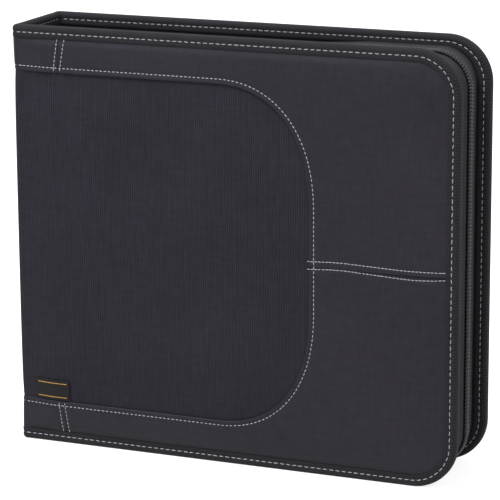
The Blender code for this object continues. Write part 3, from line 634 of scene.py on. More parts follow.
def between(inner, outer):
    """Grid of spots from one curve to another: near the first as listed, then even, finer at the ends."""
    total = run_of(outer)[-1]
    fine = np.arange(0.0, END_REACH, END_STEP)
    middle = np.linspace(END_REACH, total - END_REACH, int((total - 2 * END_REACH) / SIDE_STEP) + 1)
    shares = np.concatenate([fine, middle, total - fine[::-1]]) / total
    first, last = at_shares(inner, shares), at_shares(outer, shares)
    reach = np.linalg.norm(last - first, axis=1)[:, None]
    rest = NEAR[-1] + (reach - NEAR[-1]) * np.linspace(0.0, 1.0, 20)[1:]
    rows = np.concatenate([np.broadcast_to(NEAR, (len(reach), len(NEAR))), rest], axis=1) / reach
    return first[:, None] + (last - first)[:, None] * rows[..., None]


for part in ("upper", "lower"):
    spots = between(part_of(OPENING, part == "upper"), part_of(SHEET_EDGE, part == "upper"))
    node = [f"front_sheet_{part}"]
    name, points = f"front_{part}_sheet", front_points(spots)
    sheet = cloth_piece(name, points, OUT_FRONT, SMOOTH, "front", node, flat=True)
    print(sheet.name, len(sheet.data.polygons), "faces")

# %% [markdown]
# Left of the hinge's seam, a strip of the same cloth runs on above and below the panel, and goes flat as it
# comes to the fold, where the spine's cloth takes over from it.
# %% End strips of the front
for end, start, stop in (
    ("top", HEIGHT - OPENING_MARGIN, HEIGHT - SHEET_INSET),
    ("bottom", OPENING_MARGIN, SHEET_INSET),
):
    rows = np.concatenate([NEAR, np.linspace(7 * MM, abs(stop - start), 30)])
    across = np.linspace(FOLD_X, HINGE_SEAM, 70)
    spots = grid_of(across[:, None], (start + np.sign(stop - start) * rows)[None])
    points = front_points(spots)
    flat = smooth((spots[..., 0] - FOLD_X) / (6 * MM))
    folded = -FOLD_Y - SMOOTH_FOLD - fold_shape(spots[..., 1])
    points[..., 1] = points[..., 1] * flat + (folded + rolled(rows)) * (1 - flat)
    node = [f"front_strip_{end}"]
    strip = cloth_piece(f"front_end_strip_{end}", points, OUT_FRONT, SMOOTH, "front", node, flat=True)
    print(strip.name, len(strip.data.polygons), "faces")

# %% [markdown]
# The ribbed panel runs on a little way under the folded edge of the smooth sheets, as the real one is sewn
# in behind them. It swells by about a millimetre from its edge to its middle. Its grid is made of level
# rows that end at the curve, so that the ribs stay upright.
# %% Ribbed panel
HIDDEN_MARGIN, HIDDEN_LEVEL = 2.6 * MM, -0.15 * MM
PANEL_ROWS, PANEL_COLUMNS = 124, 116


def rows_across(line, levels, left, columns):
    """Grid of (x, z) spots on level rows, each from the left to where the curve stands at that level."""
    half = len(line) // 2
    upper, lower = line[:half], line[half:]
    right_above = np.interp(levels, upper[::-1, 1], upper[::-1, 0])
    right_below = np.interp(levels, lower[::-1, 1], lower[::-1, 0])
    right = np.where(levels > MIDDLE_Z, right_above, right_below)
    x = left + (right[:, None] - left) * np.linspace(0.0, 1.0, columns)
    return grid_of(x, levels[:, None])


hidden = opening_edge(HIDDEN_MARGIN, LEFT)
levels = np.linspace(hidden[-1, 1] + 0.05 * MM, hidden[0, 1] - 0.05 * MM, PANEL_ROWS)
spots = rows_across(hidden, levels, FOLD_X, PANEL_COLUMNS)
gap, place = gap_to(spots, OPENING)
open_levels = np.clip(levels, OPENING_MARGIN, HEIGHT - OPENING_MARGIN)
covered = rows_across(OPENING, open_levels, FOLD_X, 2)[:, 1, 0]
past_end = np.abs(spots[..., 1] - MIDDLE_Z) > MIDDLE_Z - OPENING_MARGIN
outside = (spots[..., 0] > covered[:, None]) | past_end
swelling = 1.2 * MM * smooth(gap / (33 * MM)) ** 0.8
swelling = swelling + 0.10 * MM * swell(spots * 1.7) * smooth(gap / (20 * MM)) + pucker(gap, place)
rise = np.where(outside, HIDDEN_LEVEL, swelling)
from_fold = smooth((spots[..., 0] - FOLD_X) / (25 * MM))
rise = rise * from_fold + (FOLD_Y + RIBBED_FOLD - PANEL_LEVEL) * (1 - from_fold)
rise = rise + foam_rise(spots, gap_to(spots, CLOTH_EDGE)[0])
rise = rise + fold_shape(spots[..., 1]) * (1 - smooth((spots[..., 0] - FOLD_X) / (10 * MM)))
points = standing(spots, -PANEL_LEVEL - rise)
node = ["front_fabric_panel"]
panel = cloth_piece("front_ribbed_panel", points, OUT_FRONT, RIBBED, "front", node, 0.4 * MM, True)
print("panel", len(panel.data.polygons), "faces")

# %% [markdown]
# The edge of a cover is bound with grosgrain tape, folded over the layers and sewn through. A flat strip
# could be folded by a modifier, but a U section carried along the edge also takes the dip and the ripples
# that the stitches pull into it. The same function later binds the spine and the folds at the hinges.
# %% Edge tape
LEG_STEPS, ARC_STEPS = 11, 6
TAPE_CLOTH, STATION_STEP = 0.65 * MM, 1.43 * MM


def folded_tape(outer, inner, inward):
    """U section from an outer edge to an inner one: two legs that go in, joined by quarter circles."""
    width = np.linalg.norm(inner - outer, axis=1)
    over = (inner - outer) / width[:, None]
    leg = np.linspace(TAPE_WIDTH, TAPE_ROUND, LEG_STEPS)
    turn = np.linspace(0.0, math.pi / 2, ARC_STEPS)[1:]
    dip = 0.32 * MM * bell(leg - TAPE_SEAM, 0.9 * MM) + 0.25 * MM * smooth((leg - 7 * MM) / (1 * MM))
    across = np.concatenate([dip, TAPE_ROUND * (1 - np.cos(turn))])
    depth = np.concatenate([leg, TAPE_ROUND * (1 - np.sin(turn))])
    wave = 0.10 * MM * np.cos(2 * math.pi * run_of((outer + inner) / 2) / TAPE_PITCH)
    near = across[None] + wave[:, None] * bell(depth - TAPE_SEAM, 1.6 * MM)
    across = np.concatenate([near, width[:, None] - near[:, ::-1]], axis=1)
    depth = np.concatenate([depth, depth[::-1]])
    return outer[:, None] + over[:, None] * across[..., None] + inward[:, None] * depth[:, None]


def tape_piece(name, outer, inner, inward, body, replaced=()):
    """Piece of folded tape, its faces turned away from the line in the middle of its layers."""
    inward = np.broadcast_to(inward, outer.shape)
    grid = folded_tape(outer, inner, inward)
    core = (outer + inner)[:, None] / 2 + 6 * MM * inward[:, None]
    return cloth_piece(name, grid, grid - core, EDGE, body, replaced, TAPE_CLOTH)


def inward_of(edge):
    """Way into the case: from the edge to the nearest point of a rectangle inside the corners."""
    x = np.minimum(edge[:, 0], RIGHT - CORNER)
    z = np.clip(edge[:, 1], CORNER, HEIGHT - CORNER)
    return unit(grid_of(x - edge[:, 0], 0.0, z - edge[:, 1]))


tape_edge = at_lengths(COVER_EDGE, np.arange(0.0, run_of(COVER_EDGE)[-1], STATION_STEP))
tape_edge = np.concatenate([tape_edge, COVER_EDGE[-1:]])
for side, body in SIDES:
    outer, inner = standing(tape_edge, side * OUTSIDE), standing(tape_edge, side * INSIDE)
    tape_piece(f"{body}_edge_tape", outer, inner, inward_of(tape_edge), body, [f"{body}_binding"])
print("edge tape", len(tape_edge), "stations")

# %% [markdown]
# At the hinges the cloth goes round the spine's corners. Those pieces belong to two bodies, so they ride on
# neither.
# The flat cloth between them rides on the spine.
# %% Cloth of the spine and its folds
SPINE_OUT = np.array([-1.0, 0.0, 0.0])
SPINE_BOW = 0.35 * MM
RIBBED_SPAN = (OPENING_MARGIN - 2 * MM, HEIGHT - OPENING_MARGIN + 2 * MM)
SMOOTH_SPANS = {
    "bottom": (SHEET_INSET, OPENING_MARGIN),
    "top": (HEIGHT - OPENING_MARGIN, HEIGHT - SHEET_INSET),
}


def level_rows(low, high):
    """Heights from low to high: close together at both rolled edges, then even."""
    fine = np.array([0.0, 0.15, 0.35, 0.6, 0.9, 1.3]) * MM
    middle = np.arange(low + 2 * MM, high - 2 * MM, 1.5 * MM)
    return np.concatenate([low + fine, middle, high - fine[::-1]])


def standing_out(span, radius, roll):
    """Heights of a span, and how far its cloth stands out from the fold's line there."""
    z = level_rows(*span)
    turned_in = rolled(np.minimum(z - span[0], span[1] - z)) if roll else 0.0
    return z, radius + fold_shape(z) - turned_in


def spine_flat(span, radius, roll):
    """Flat cloth between the two folds, bowed by a parabola."""
    z, size = standing_out(span, radius, roll)
    y = np.linspace(-FOLD_Y, FOLD_Y, 24)
    bow = SPINE_BOW * (1 - (y / FOLD_Y) ** 2)
    return grid_of((FOLD_X - size)[:, None] + bow[None], y[None], z[:, None])


def corner_fold(span, radius, roll, side):
    """Quarter round from a cover's face to the spine's, its radius less where an edge rolls in."""
    z, size = standing_out(span, radius, roll)
    turn = np.linspace(0.0, math.pi / 2, 14)
    x = FOLD_X - size[:, None] * np.sin(turn)
    y = side * (FOLD_Y + size[:, None] * np.cos(turn))
    return grid_of(x, y, z[:, None])


def fold_piece(name, grid, side, finish, thickness):
    """Cloth round a corner, shared by a cover and the spine."""
    centre = grid_of(FOLD_X, side * FOLD_Y, grid[..., 2])
    piece = cloth_piece(name, grid, grid - centre, finish, None, (), thickness)
    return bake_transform(piece)


ribbed = spine_flat(RIBBED_SPAN, RIBBED_FOLD, False)
cloth_piece("spine_ribbed_cloth", ribbed, SPINE_OUT, RIBBED, "spine", ["spine_fabric"], 0.4 * MM)
for end, span in SMOOTH_SPANS.items():
    strip, node = spine_flat(span, SMOOTH_FOLD, True), [f"spine_strip_{end}"]
    cloth_piece(f"spine_smooth_{end}", strip, SPINE_OUT, SMOOTH, "spine", node)
for side, cover in SIDES:
    fold = corner_fold(RIBBED_SPAN, RIBBED_FOLD, False, side)
    fold_piece(f"{cover}_fold_ribbed", fold, side, RIBBED, 0.4 * MM)
    for end, span in SMOOTH_SPANS.items():
        fold = corner_fold(span, SMOOTH_FOLD, True, side)
        fold_piece(f"{cover}_fold_{end}", fold, side, SMOOTH, 0.5 * MM)
print("spine cloth done")

# %% [markdown]
# The tape goes on over the ends of the spine, and round both hinges, where the U gets narrower as it goes
# round. The pieces at the hinges ride on no body either. The pieces at the hinges are blended too.
# %% Tape of the spine and of the folds
ROUND_OUT = OUTSIDE - FOLD_Y


def quarter(centre, radius, side):
    """Quarter circle in plan from a cover's face to the spine's."""
    turn = np.linspace(0.0, math.pi / 2, 12)
    return [(centre[0] - radius * math.sin(t), side * (centre[1] + radius * math.cos(t))) for t in turn]


def plan_path(corners, count):
    """Even points along a line of (x, y) corners that is rounded before."""
    return at_shares(np.array(corners), np.linspace(0.0, 1.0, count))


def tape_plan(side):
    """Outer edge of the tape in plan, from a cover's face round to the spine's."""
    bend = quarter((SPINE_TAPE_X + ROUND_OUT, FOLD_Y), ROUND_OUT, side)
    return plan_path([(COVER_TAPE_END, side * OUTSIDE), *bend, (SPINE_TAPE_X, side * SPINE_TAPE_END)], 26)


for end, z, way in (("top", HEIGHT, -1.0), ("bottom", 0.0, 1.0)):
    inward = np.array([0.0, 0.0, way])
    y = np.linspace(-SPINE_TAPE_END, SPINE_TAPE_END, 46)
    outer, inner = grid_of(SPINE_TAPE_X, y, z), grid_of(SPINE_INNER_X, y, z)
    tape_piece(f"spine_tape_{end}", outer, inner, inward, "spine", [f"spine_binding_{end}"])
    for side, cover in SIDES:
        outer = tape_plan(side)
        inner = plan_path(quarter((COVER_TAPE_END, SPINE_TAPE_END), INSIDE - SPINE_TAPE_END, side), 26)
        outer, inner = grid_of(*outer.T, z), grid_of(*inner.T, z)
        piece = tape_piece(f"{cover}_fold_tape_{end}", outer, inner, inward, None)
        start, stop = (COVER_TAPE_END, side * INSIDE, z), (SPINE_INNER_X, side * SPINE_TAPE_END, z)
        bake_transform(piece)
print("spine tape done")

# %% [markdown]
# The back is one smooth sheet, lapped over the spine's cloth. It is sewn down along the lap, so it has a
# small step and a groove there, and a slight swell elsewhere.
# %% Back sheet


def cover_rows(inset, left, columns, rows):
    """Level rows over a whole cover, close together at its round corners."""
    ends = np.linspace(inset + 0.02 * MM, 12 * MM, 16)
    upper_ends = np.linspace(HEIGHT - 12 * MM, HEIGHT - inset - 0.02 * MM, 16)
    levels = np.concatenate([ends, np.linspace(13 * MM, HEIGHT - 13 * MM, rows), upper_ends])
    return rows_across(cover_edge(inset, left), levels, left, columns)


LAP, LAP_STEP, LAP_GROOVE = 0.5 * MM, 0.65 * MM, 0.3 * MM
spots = cover_rows(SHEET_INSET, FOLD_X - LAP, 104, 84)
edge, _ = gap_to(spots, CLOTH_EDGE)
from_fold = spots[..., 0] - FOLD_X
level = smooth((edge - 8 * MM) / (9 * MM)) * smooth((from_fold - 2 * MM) / (12 * MM))
rise = PUFF * level * (1 + 0.25 * swell(spots * 1.2))
rise = rise + LAP_STEP * (1 - smooth((from_fold + LAP) / (6 * MM)))
rise = rise - LAP_GROOVE * bell(from_fold - 4 * MM, 1.2 * MM)
points = standing(spots, SKIN + 0.1 * MM + rise)
back_sheet = cloth_piece("back_smooth_sheet", points, -OUT_FRONT, SMOOTH, "back", ["back_sheet"], flat=True)
print(back_sheet.name, len(back_sheet.data.polygons), "faces")

# %% [markdown]
# A grey board stiffens each cover and stops short of the fold. Inside it is plain lining cloth, sewn in
# under the edge tape. A strip of lining covers each inner corner of the spine, on no body, like the folds.
# %% Boards and linings
BOARD_THICKNESS = 4.0 * MM
INNER_FOLD_X, INNER_FOLD_Y, INNER_FOLD = COVER_TAPE_END + 1 * MM, 23.5 * MM, 4 * MM
STRIP_X, STRIP_Y = -150.86 * MM, (27.3 * MM, 19 * MM)

for side, body in SIDES:
    inside_way = -side * np.array([0.0, 1.0, 0.0])
    spots = cover_rows(2.0 * MM, BOARD_LEFT, 24, 8)
    points = standing(spots, side * BOARD)
    node = [f"{body}_board"]
    cloth_piece(f"{body}_cover_board", points, -inside_way, CARD, body, node, BOARD_THICKNESS, True)
    spots = cover_rows(SHEET_INSET, COVER_TAPE_END if side < 0 else LINING_X + 0.3 * MM, 64, 44)
    edge, _ = gap_to(spots, CLOTH_EDGE)
    rise = 0.4 * MM * smooth((edge - 8 * MM) / (12 * MM)) * (0.5 + 0.5 * swell(spots * 1.5))
    points = standing(spots, side * (LINING - rise))
    cloth_piece(f"{body}_inner_lining", points, inside_way, INNER, body, [f"{body}_lining"], 0.4 * MM, True)
z = np.linspace(1.0 * MM, HEIGHT - 1.0 * MM, 60)[:, None]
y = np.linspace(-SPINE_TAPE_END + 1 * MM, SPINE_TAPE_END, 10)[None]
lining, node = grid_of(LINING_X, y, z), ["spine_lining"]
cloth_piece("spine_inner_lining", lining, -SPINE_OUT, INNER, "spine", node, 0.4 * MM)
turn = np.linspace(0.0, math.pi / 2, 12)[None]
x, y = INNER_FOLD_X - INNER_FOLD * np.sin(turn), -(INNER_FOLD_Y + INNER_FOLD * np.cos(turn))
facing = grid_of(INNER_FOLD_X - x, -INNER_FOLD_Y - y, 0 * z)
piece = cloth_piece("front_inner_fold", grid_of(x, y, z), facing, INNER, None, (), 0.3 * MM)
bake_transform(piece)
y = np.linspace(*STRIP_Y, 14)[None]
piece = cloth_piece("back_inner_fold", grid_of(STRIP_X, y, z), -SPINE_OUT, INNER, None, (), 0.1 * MM)
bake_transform(piece)
print("boards and linings done")

# %% [markdown]
# The side wall is cloth that joins the covers, with the zip in its middle. It hangs lower near the spine,
# so its depth under the covers' edge depends on the place along the edge. The zip lies highest, and the
# wall slopes from it to where it is sewn inside each cover.
# %% Depth of the side wall and of the zip
WALL_START = LEFT + 20 * MM
WALL_HALF, WALL_FLAT = 26.2 * MM, 6 * MM
ROW_HEIGHT, SEAT = 2.0 * MM, 0.3 * MM
FROM_SPINE = (0.0, 195 * MM, 230 * MM)
ZIP_DEPTHS, ZIP_DEPTH_SIDE = (13.3 * MM, 7.3 * MM, 5.0 * MM), 3.4 * MM
WALL_DEPTHS, WALL_DEPTH_SIDE = (12.0 * MM, 8.4 * MM, 6.0 * MM), 8.2 * MM


def edge_run(first, last, step):
    """Points round the covers' edge from one place on top to one at the foot, and the way in."""
    line = cover_edge(0.0, first)
    line[-1, 0] = last
    edge = at_lengths(line, np.linspace(0.0, run_of(line)[-1], int(run_of(line)[-1] / step) + 1))
    return edge, inward_of(edge)


def depth_by_place(edge, inward, depths, side_depth):
    """Depth under the edge: by the distance from the spine, then by how far the edge has turned."""
    from_spine = edge[:, 0] - LEFT
    turned = np.where(from_spine >= FROM_SPINE[-1], np.abs(inward[:, 0]), 0.0)
    return np.interp(from_spine, FROM_SPINE, depths) + (side_depth - depths[-1]) * turned


def zip_depth(edge, inward):
    """Depth of the coil's outer side under the edge."""
    return depth_by_place(edge, inward, ZIP_DEPTHS, ZIP_DEPTH_SIDE)


def wall_depth(edge, inward, y):
    """Depth of the wall: level under the coil, then a slope to where it is sewn inside the cover."""
    middle = (zip_depth(edge, inward) + ROW_HEIGHT + SEAT)[:, None]
    sewn = depth_by_place(edge, inward, WALL_DEPTHS, WALL_DEPTH_SIDE)[:, None]
    share = np.clip((y - WALL_FLAT) / (WALL_HALF - WALL_FLAT), 0.0, 1.0)[None]
    return middle + (sewn - middle) * share


print("zip depth", round(ZIP_DEPTHS[0] / MM, 1), "mm at the spine,", ZIP_DEPTH_SIDE / MM, "mm at the side")

# %% [markdown]
# Each half of the wall is a strip of thin cloth, with slight waves where nothing holds it. The zip's tape
# is sewn over it, with a thicker rim and a groove along its seam.
# %% Wall cloth and zip tape
TAPE_REACH, TAPE_GAP = 16.5 * MM, 1.6 * MM
WALL_SUNK = 1.15 * MM


def wall_grid(side, y, extra):
    """Points of a band of the wall, each at its depth under the edge and its distance from the middle."""
    edge, inward = edge_run(WALL_START, WALL_START, 2.2 * MM)
    depth = wall_depth(edge, inward, y) + extra(run_of(edge)[:, None], y[None])
    base = standing(edge, 0.0)[:, None] + inward[:, None] * depth[..., None]
    base[..., 1] = side * y[None]
    return base, -inward[:, None] * np.ones_like(base)


def cloth_waves(place, y):
    """Slight waves of unsupported cloth along the wall, from two sines, none where it is sewn."""
    free = np.sin(math.pi * np.clip((y - 14 * MM) / (12 * MM), 0, 1))
    return WALL_SUNK + 0.35 * MM * free * (np.sin(38 * place) + 0.6 * np.sin(91 * place + 1))


def tape_ridges(place, y):
    """The tape's thicker edge as a smooth step, and its sewn line as a bell."""
    rim = -0.20 * MM * smooth((y - 15.6 * MM) / (0.5 * MM))
    return rim + 0.25 * MM * bell(y - 8.2 * MM, 0.6 * MM) + 0 * place


cloth_y = np.linspace(13.4 * MM, 26.1 * MM, 22)
tape_seam_y = np.linspace(7.4 * MM, 9 * MM, 7)
tape_y = (np.linspace(TAPE_GAP, 7 * MM, 8), tape_seam_y, np.linspace(9.5 * MM, TAPE_REACH, 12))
for side, body in SIDES:
    grid, out = wall_grid(side, cloth_y, cloth_waves)
    cloth_piece(f"{body}_wall_cloth", grid, out, WALL, body, [f"{body}_gusset"])
    grid, out = wall_grid(side, np.concatenate(tape_y), tape_ridges)
    cloth_piece(f"{body}_tape_cloth", grid, out, TAPE, body, [f"{body}_zip_tape"])
print("wall done")

# %% [markdown]
# The zip's teeth are the loops of a nylon wire, wound as a flattened helix and sewn along the tape over an
# oval cord. A texture of teeth would look flat from the side, so the wire is real. The two coils' loops lie
# between each other, half a pitch apart. Few sides are enough for a wire half a millimetre thick.
# %% Zip coil and its cord
COIL_PITCH, COIL_WIRE = 2.4 * MM, 0.52 * MM
COIL_DEPTH, COIL_HALF_HEIGHT = 1.0 * MM, 0.54 * MM
COIL_MIDDLE, COIL_HALF_WIDTH = 1.1 * MM, 2.0 * MM
COIL_TURN_STEPS, COIL_SIDES, CORD_SIDES = 12, 5, 8


def flattened(wave, power):
    """A wave with its sign kept and its size raised to a power, which squares the loop's corners."""
    return np.sign(wave) * np.abs(wave) ** power


def coil_rings(side):
    """Rings of wire round a helix: it goes along the edge by a pitch for each turn of a flattened loop."""
    edge, _ = edge_run(LEFT + 46 * MM, LEFT + 24 * MM, 1.0 * MM)
    turns = int(run_of(edge)[-1] / COIL_PITCH) - 1
    angle = np.linspace(0.0, 2 * math.pi * turns, turns * COIL_TURN_STEPS + 1)
    spot = at_lengths(edge, COIL_PITCH * (angle / (2 * math.pi) + (0.25 if side > 0 else 0.75)))
    way_in = inward_of(spot)
    depth = zip_depth(spot, way_in) + COIL_DEPTH - COIL_HALF_HEIGHT * flattened(np.sin(angle), 0.7)
    centre = standing(spot, 0.0) + way_in * depth[:, None]
    centre[:, 1] = side * (COIL_MIDDLE - COIL_HALF_WIDTH * flattened(np.cos(angle), 0.8))
    along = unit(np.gradient(centre, axis=0))
    first = unit(np.cross(along, np.cross(way_in, [0.0, 1.0, 0.0])))
    second = np.cross(along, first)
    turn = np.linspace(0.0, 2 * math.pi, COIL_SIDES, endpoint=False)
    ring = first[:, None] * np.cos(turn)[:, None] + second[:, None] * np.sin(turn)[:, None]
    return (centre[:, None] + COIL_WIRE * ring)[None]


def cord_rings(side):
    """Rings of the oval cord that lies inside the loops of a coil and holds it to its tape."""
    edge, inward = edge_run(LEFT + 45 * MM, LEFT + 23 * MM, 1.5 * MM)
    turn = np.linspace(0.0, 2 * math.pi, CORD_SIDES, endpoint=False)
    depth = zip_depth(edge, inward)[:, None] + COIL_DEPTH + 0.45 * MM * np.sin(turn)
    rings = standing(edge, 0.0)[:, None] + inward[:, None] * depth[..., None]
    rings[..., 1] = side * (1.9 * MM + 0.95 * MM * np.cos(turn))
    return rings[None]


for side, body in SIDES:
    tube_piece(f"{body}_zip_coil", coil_rings(side), COIL, body, [f"{body}_zip_teeth"])
    tube_piece(f"{body}_zip_cord", cord_rings(side), WALL, body)
print("zip done")

# %% [markdown]
# Now the thread of the front: the opening's folded edge, and the double rows across and beside the hinge.
# Each seam asks the cloth for its height, so its stitches rise and fall with the foam.
# %% Thread of the front


def front_seam(line):
    """A seam's points in the cloth of the front, and the way out of it."""
    fine = at_lengths(line, np.arange(0.0, run_of(line)[-1], 0.8 * MM))
    return front_points(fine), np.broadcast_to(OUT_FRONT, (len(fine), 3))


def sew(name, seams, pitch, length, body):
    """One thread mesh for a list of seams, each a path and the way out of the cloth."""
    rings = stitches([path for path, _ in seams], [out for _, out in seams], pitch, length)
    return tube_piece(name, rings, THREAD, body)


opening_line = OPENING_STITCH[OPENING_STITCH[:, 0] > FOLD_X]
sew("front_opening_thread", [front_seam(opening_line)], SEAM_PITCH, SEAM_STITCH, "front")
double_rows = [front_seam(line) for line in CROSS_ROWS + HINGE_ROWS]
sew("front_row_thread", double_rows, ROW_PITCH, ROW_STITCH, "front")
print("thread of the front done")

# %% [markdown]
# The edge tape is sewn through, so its thread shows on both faces of each cover. The same seams and the
# opening's seam run on round the hinges, in pieces on no body, and over the spine.
# %% Thread of the edges and of the spine
SEAM_LEVELS = (OPENING_MARGIN - OPENING_SEAM, HEIGHT - OPENING_MARGIN + OPENING_SEAM)
TAPE_LEVELS = (TAPE_SEAM, HEIGHT - TAPE_SEAM)
SUNK = 0.32 * MM


def plan_seam(plan, z, side, sunk):
    """A level seam over a plan path towards the spine, sunk into its cloth, and the way out of it."""
    way = unit(np.gradient(plan, axis=0))
    out = side * grid_of(way[:, 1], -way[:, 0], 0.0)
    return grid_of(*plan.T, z) - sunk * out, out


def cover_seam(level, way):
    """The tape's seam on one face of a cover."""
    edge = at_lengths(COVER_EDGE, np.linspace(0.0, run_of(COVER_EDGE)[-1], 700))
    path = standing(edge, level) + inward_of(edge) * TAPE_SEAM
    return path, np.broadcast_to(np.array([0.0, way, 0.0]), path.shape)


for side, body in SIDES:
    faces = [cover_seam(side * (OUTSIDE - SUNK), side), cover_seam(side * (INSIDE + SUNK), -side)]
    sew(f"{body}_edge_thread", faces, TAPE_PITCH, TAPE_STITCH, body)
    bends = [quarter((FOLD_X, FOLD_Y), SMOOTH_FOLD + fold_shape(z), side) for z in SEAM_LEVELS]
    seams = [plan_seam(plan_path(bend, 16), z, side, 0.0) for bend, z in zip(bends, SEAM_LEVELS)]
    piece = sew(f"{body}_fold_thread", seams, SEAM_PITCH, SEAM_STITCH, None)
    start = (FOLD_X, side * (FOLD_Y + SMOOTH_FOLD), MIDDLE_Z)
    stop = (FOLD_X - SMOOTH_FOLD, side * FOLD_Y, MIDDLE_Z)
    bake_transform(piece)
    seams = [plan_seam(tape_plan(side), z, side, SUNK) for z in TAPE_LEVELS]
    piece = sew(f"{body}_fold_edge_thread", seams, TAPE_PITCH, TAPE_STITCH, None)
    start, stop = (COVER_TAPE_END, side * INSIDE, 0.0), (SPINE_INNER_X, side * SPINE_TAPE_END, 0.0)
    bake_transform(piece)
seams = []
for z in SEAM_LEVELS:
    y = np.linspace(-FOLD_Y, FOLD_Y, 40)
    bow = SPINE_BOW * (1 - (y / FOLD_Y) ** 2) - fold_shape(z)
    seams.append(plan_seam(np.column_stack([FOLD_X - SMOOTH_FOLD + bow, y]), z, -1, 0.0))
for x, reach in ((SPINE_TAPE_X, SPINE_TAPE_END), (SPINE_INNER_X, -SPINE_TAPE_END)):
    y = np.linspace(-reach, reach, 40)
    seams += [plan_seam(grid_of(x, y), z, -1, SUNK) for z in TAPE_LEVELS]
sew("spine_thread", seams, TAPE_PITCH, TAPE_STITCH, "spine")
print("thread done")

# %% [markdown]
# The woven tag is a plain satin label with a thin gold line near its upper and its lower edge. It lies on
# the foam like the panel, sewn down by its lower edge, and lifts a little above it.
# %% Tag
TAG_X, TAG_Z = (-143.5 * MM, -117.5 * MM), (30.6 * MM, 44.6 * MM)
TAG_LEVEL, LINE_LEVEL, LINE_WIDTH = 34.05 * MM, 34.12 * MM, 0.5 * MM
LINE_HEIGHTS = (42.0 * MM, 32.4 * MM)


def tag_grid(x, z, level):
    """Points of the tag's face: on the foam, and lifting a little from its sewn lower edge."""
    spots = grid_of(x[None], z[:, None])
    wave = 1 + 0.3 * np.cos(190 * spots[..., 0])
    lift = 0.25 * MM * smooth((spots[..., 1] - TAG_Z[0]) / (9 * MM)) * wave
    return standing(spots, -level - lift - foam_rise(spots, gap_to(spots, CLOTH_EDGE)[0]))


tag = tag_grid(np.linspace(*TAG_X, 40), np.linspace(*TAG_Z, 24), TAG_LEVEL)
cloth_piece("front_woven_tag", tag, OUT_FRONT, LABEL, "front", ["label_tag"], 0.45 * MM)
line_x = np.linspace(TAG_X[0] + 2 * MM, TAG_X[1] - 2 * MM, 30)
lines = [tag_grid(line_x, np.linspace(low, low + LINE_WIDTH, 3), LINE_LEVEL) for low in LINE_HEIGHTS]
cloth_piece("front_tag_lines", lines, [OUT_FRONT] * 2, LABEL_LINE, "front", (), 0.1 * MM)
print("tag done")

# %% [markdown]
# The pages are soft leaves, bound to the back by a strip at the spine. They hang nearly flat, with a wave
# that grows away from the binding, and their free edges don't quite line up.
# %% Pages
LEAVES, LEAF_STEP, LEAF_THICKNESS = 12, 3.6 * MM, 2.0 * MM
PAGE_X, PAGE_Z = (-149.2 * MM, 126.8 * MM), (17.0 * MM, 267.0 * MM)
FIRST_LEAF = -16.5 * MM


def leaf(number):
    """Points of one leaf: a wave that is a smooth step times a sine, and a length of its own."""
    x, z = np.linspace(*PAGE_X, 36)[None], np.linspace(*PAGE_Z, 16)[:, None]
    free = smooth((x - PAGE_X[0] - 16 * MM) / (120 * MM))
    wave = 0.28 * MM * free * np.sin(9 * x + 13 * z + 1.7 * number)
    short = 1.0 - 0.006 * ((number * 5) % 4)
    y = FIRST_LEAF + number * LEAF_STEP + 0.3 * MM + wave
    return grid_of(PAGE_X[0] + (x - PAGE_X[0]) * short, y, z)


leaves = [leaf(number) for number in range(LEAVES)]
cloth_piece("page_leaves", leaves, [OUT_FRONT] * LEAVES, LEAF, "back", ["page_block"], LEAF_THICKNESS)
strip_x = np.concatenate([np.full(20, -150.66), np.linspace(-150.3, -109.5, 30)])[None] * MM
strip_y = np.concatenate([np.linspace(-16.5, 26.3, 20), np.full(30, 26.9)])[None] * MM
z = np.linspace(*PAGE_Z, 24)[:, None]
facing = grid_of(-100 * MM - strip_x, -strip_y, 0 * z)
strip = grid_of(strip_x, strip_y, z)
cloth_piece("page_binding_strip", strip, facing, INNER, "back", ["page_strip"], 0.9 * MM)
print("leaves", LEAVES)

# %% [markdown]
# Each sleeve is a clear pocket for one disc, welded round three sides, with a round thumb notch in its
# upper edge. Its grid ends at the notch, so nothing needs to be cut, and it puffs out in the middle.
# %% Sleeves
SLEEVE_LEVEL, SLEEVE_PUFF, NOTCH = -16.85 * MM, 0.5 * MM, 11 * MM
SLEEVE_X = ((-126.2 * MM, -4.7 * MM), (-1.7 * MM, 119.8 * MM))
SLEEVE_Z = ((143.5 * MM, 265.0 * MM), (19.0 * MM, 140.5 * MM))


def sleeve_grid(x_span, z_span):
    """Rows from the lower edge to an upper edge with a round notch, each a share of the column's height."""
    x = np.linspace(*x_span, 61)
    notch = np.sqrt(np.clip(NOTCH**2 - (x - sum(x_span) / 2) ** 2, 0.0, None))
    share = np.linspace(0.0, 1.0, 24)[:, None]
    z = z_span[0] + (z_span[1] - notch - z_span[0])[None] * share
    over = np.linspace(0.0, 1.0, 61)[None]
    puff = SLEEVE_PUFF * np.sin(math.pi * share) ** 0.5 * np.sin(math.pi * over) ** 0.5
    return grid_of(x[None], SLEEVE_LEVEL - puff, z)


spans = [(x_span, z_span) for z_span in SLEEVE_Z for x_span in SLEEVE_X]
for number, (x_span, z_span) in enumerate(spans, start=1):
    name, node = f"clear_sleeve_{number}", [f"disc_sleeve_{number}"]
    cloth_piece(name, sleeve_grid(x_span, z_span), OUT_FRONT, FILM, "back", node, 0.25 * MM)
print("sleeves", len(spans))

# %% [markdown]
# The board in the spine and the slider with its pull keep their solids: they are stiff and their shapes are
# right. They only get their finish.
# %% Finishes of the solids that stay
KEPT = {"spine_board": CARD, "zip_slider": PAINTED, "zip_pull": PAINTED}
for name, finish in KEPT.items():
    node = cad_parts[name]
    node.data.materials.clear()
    node.data.materials.append(finish)
print("kept", len(KEPT), "solids")

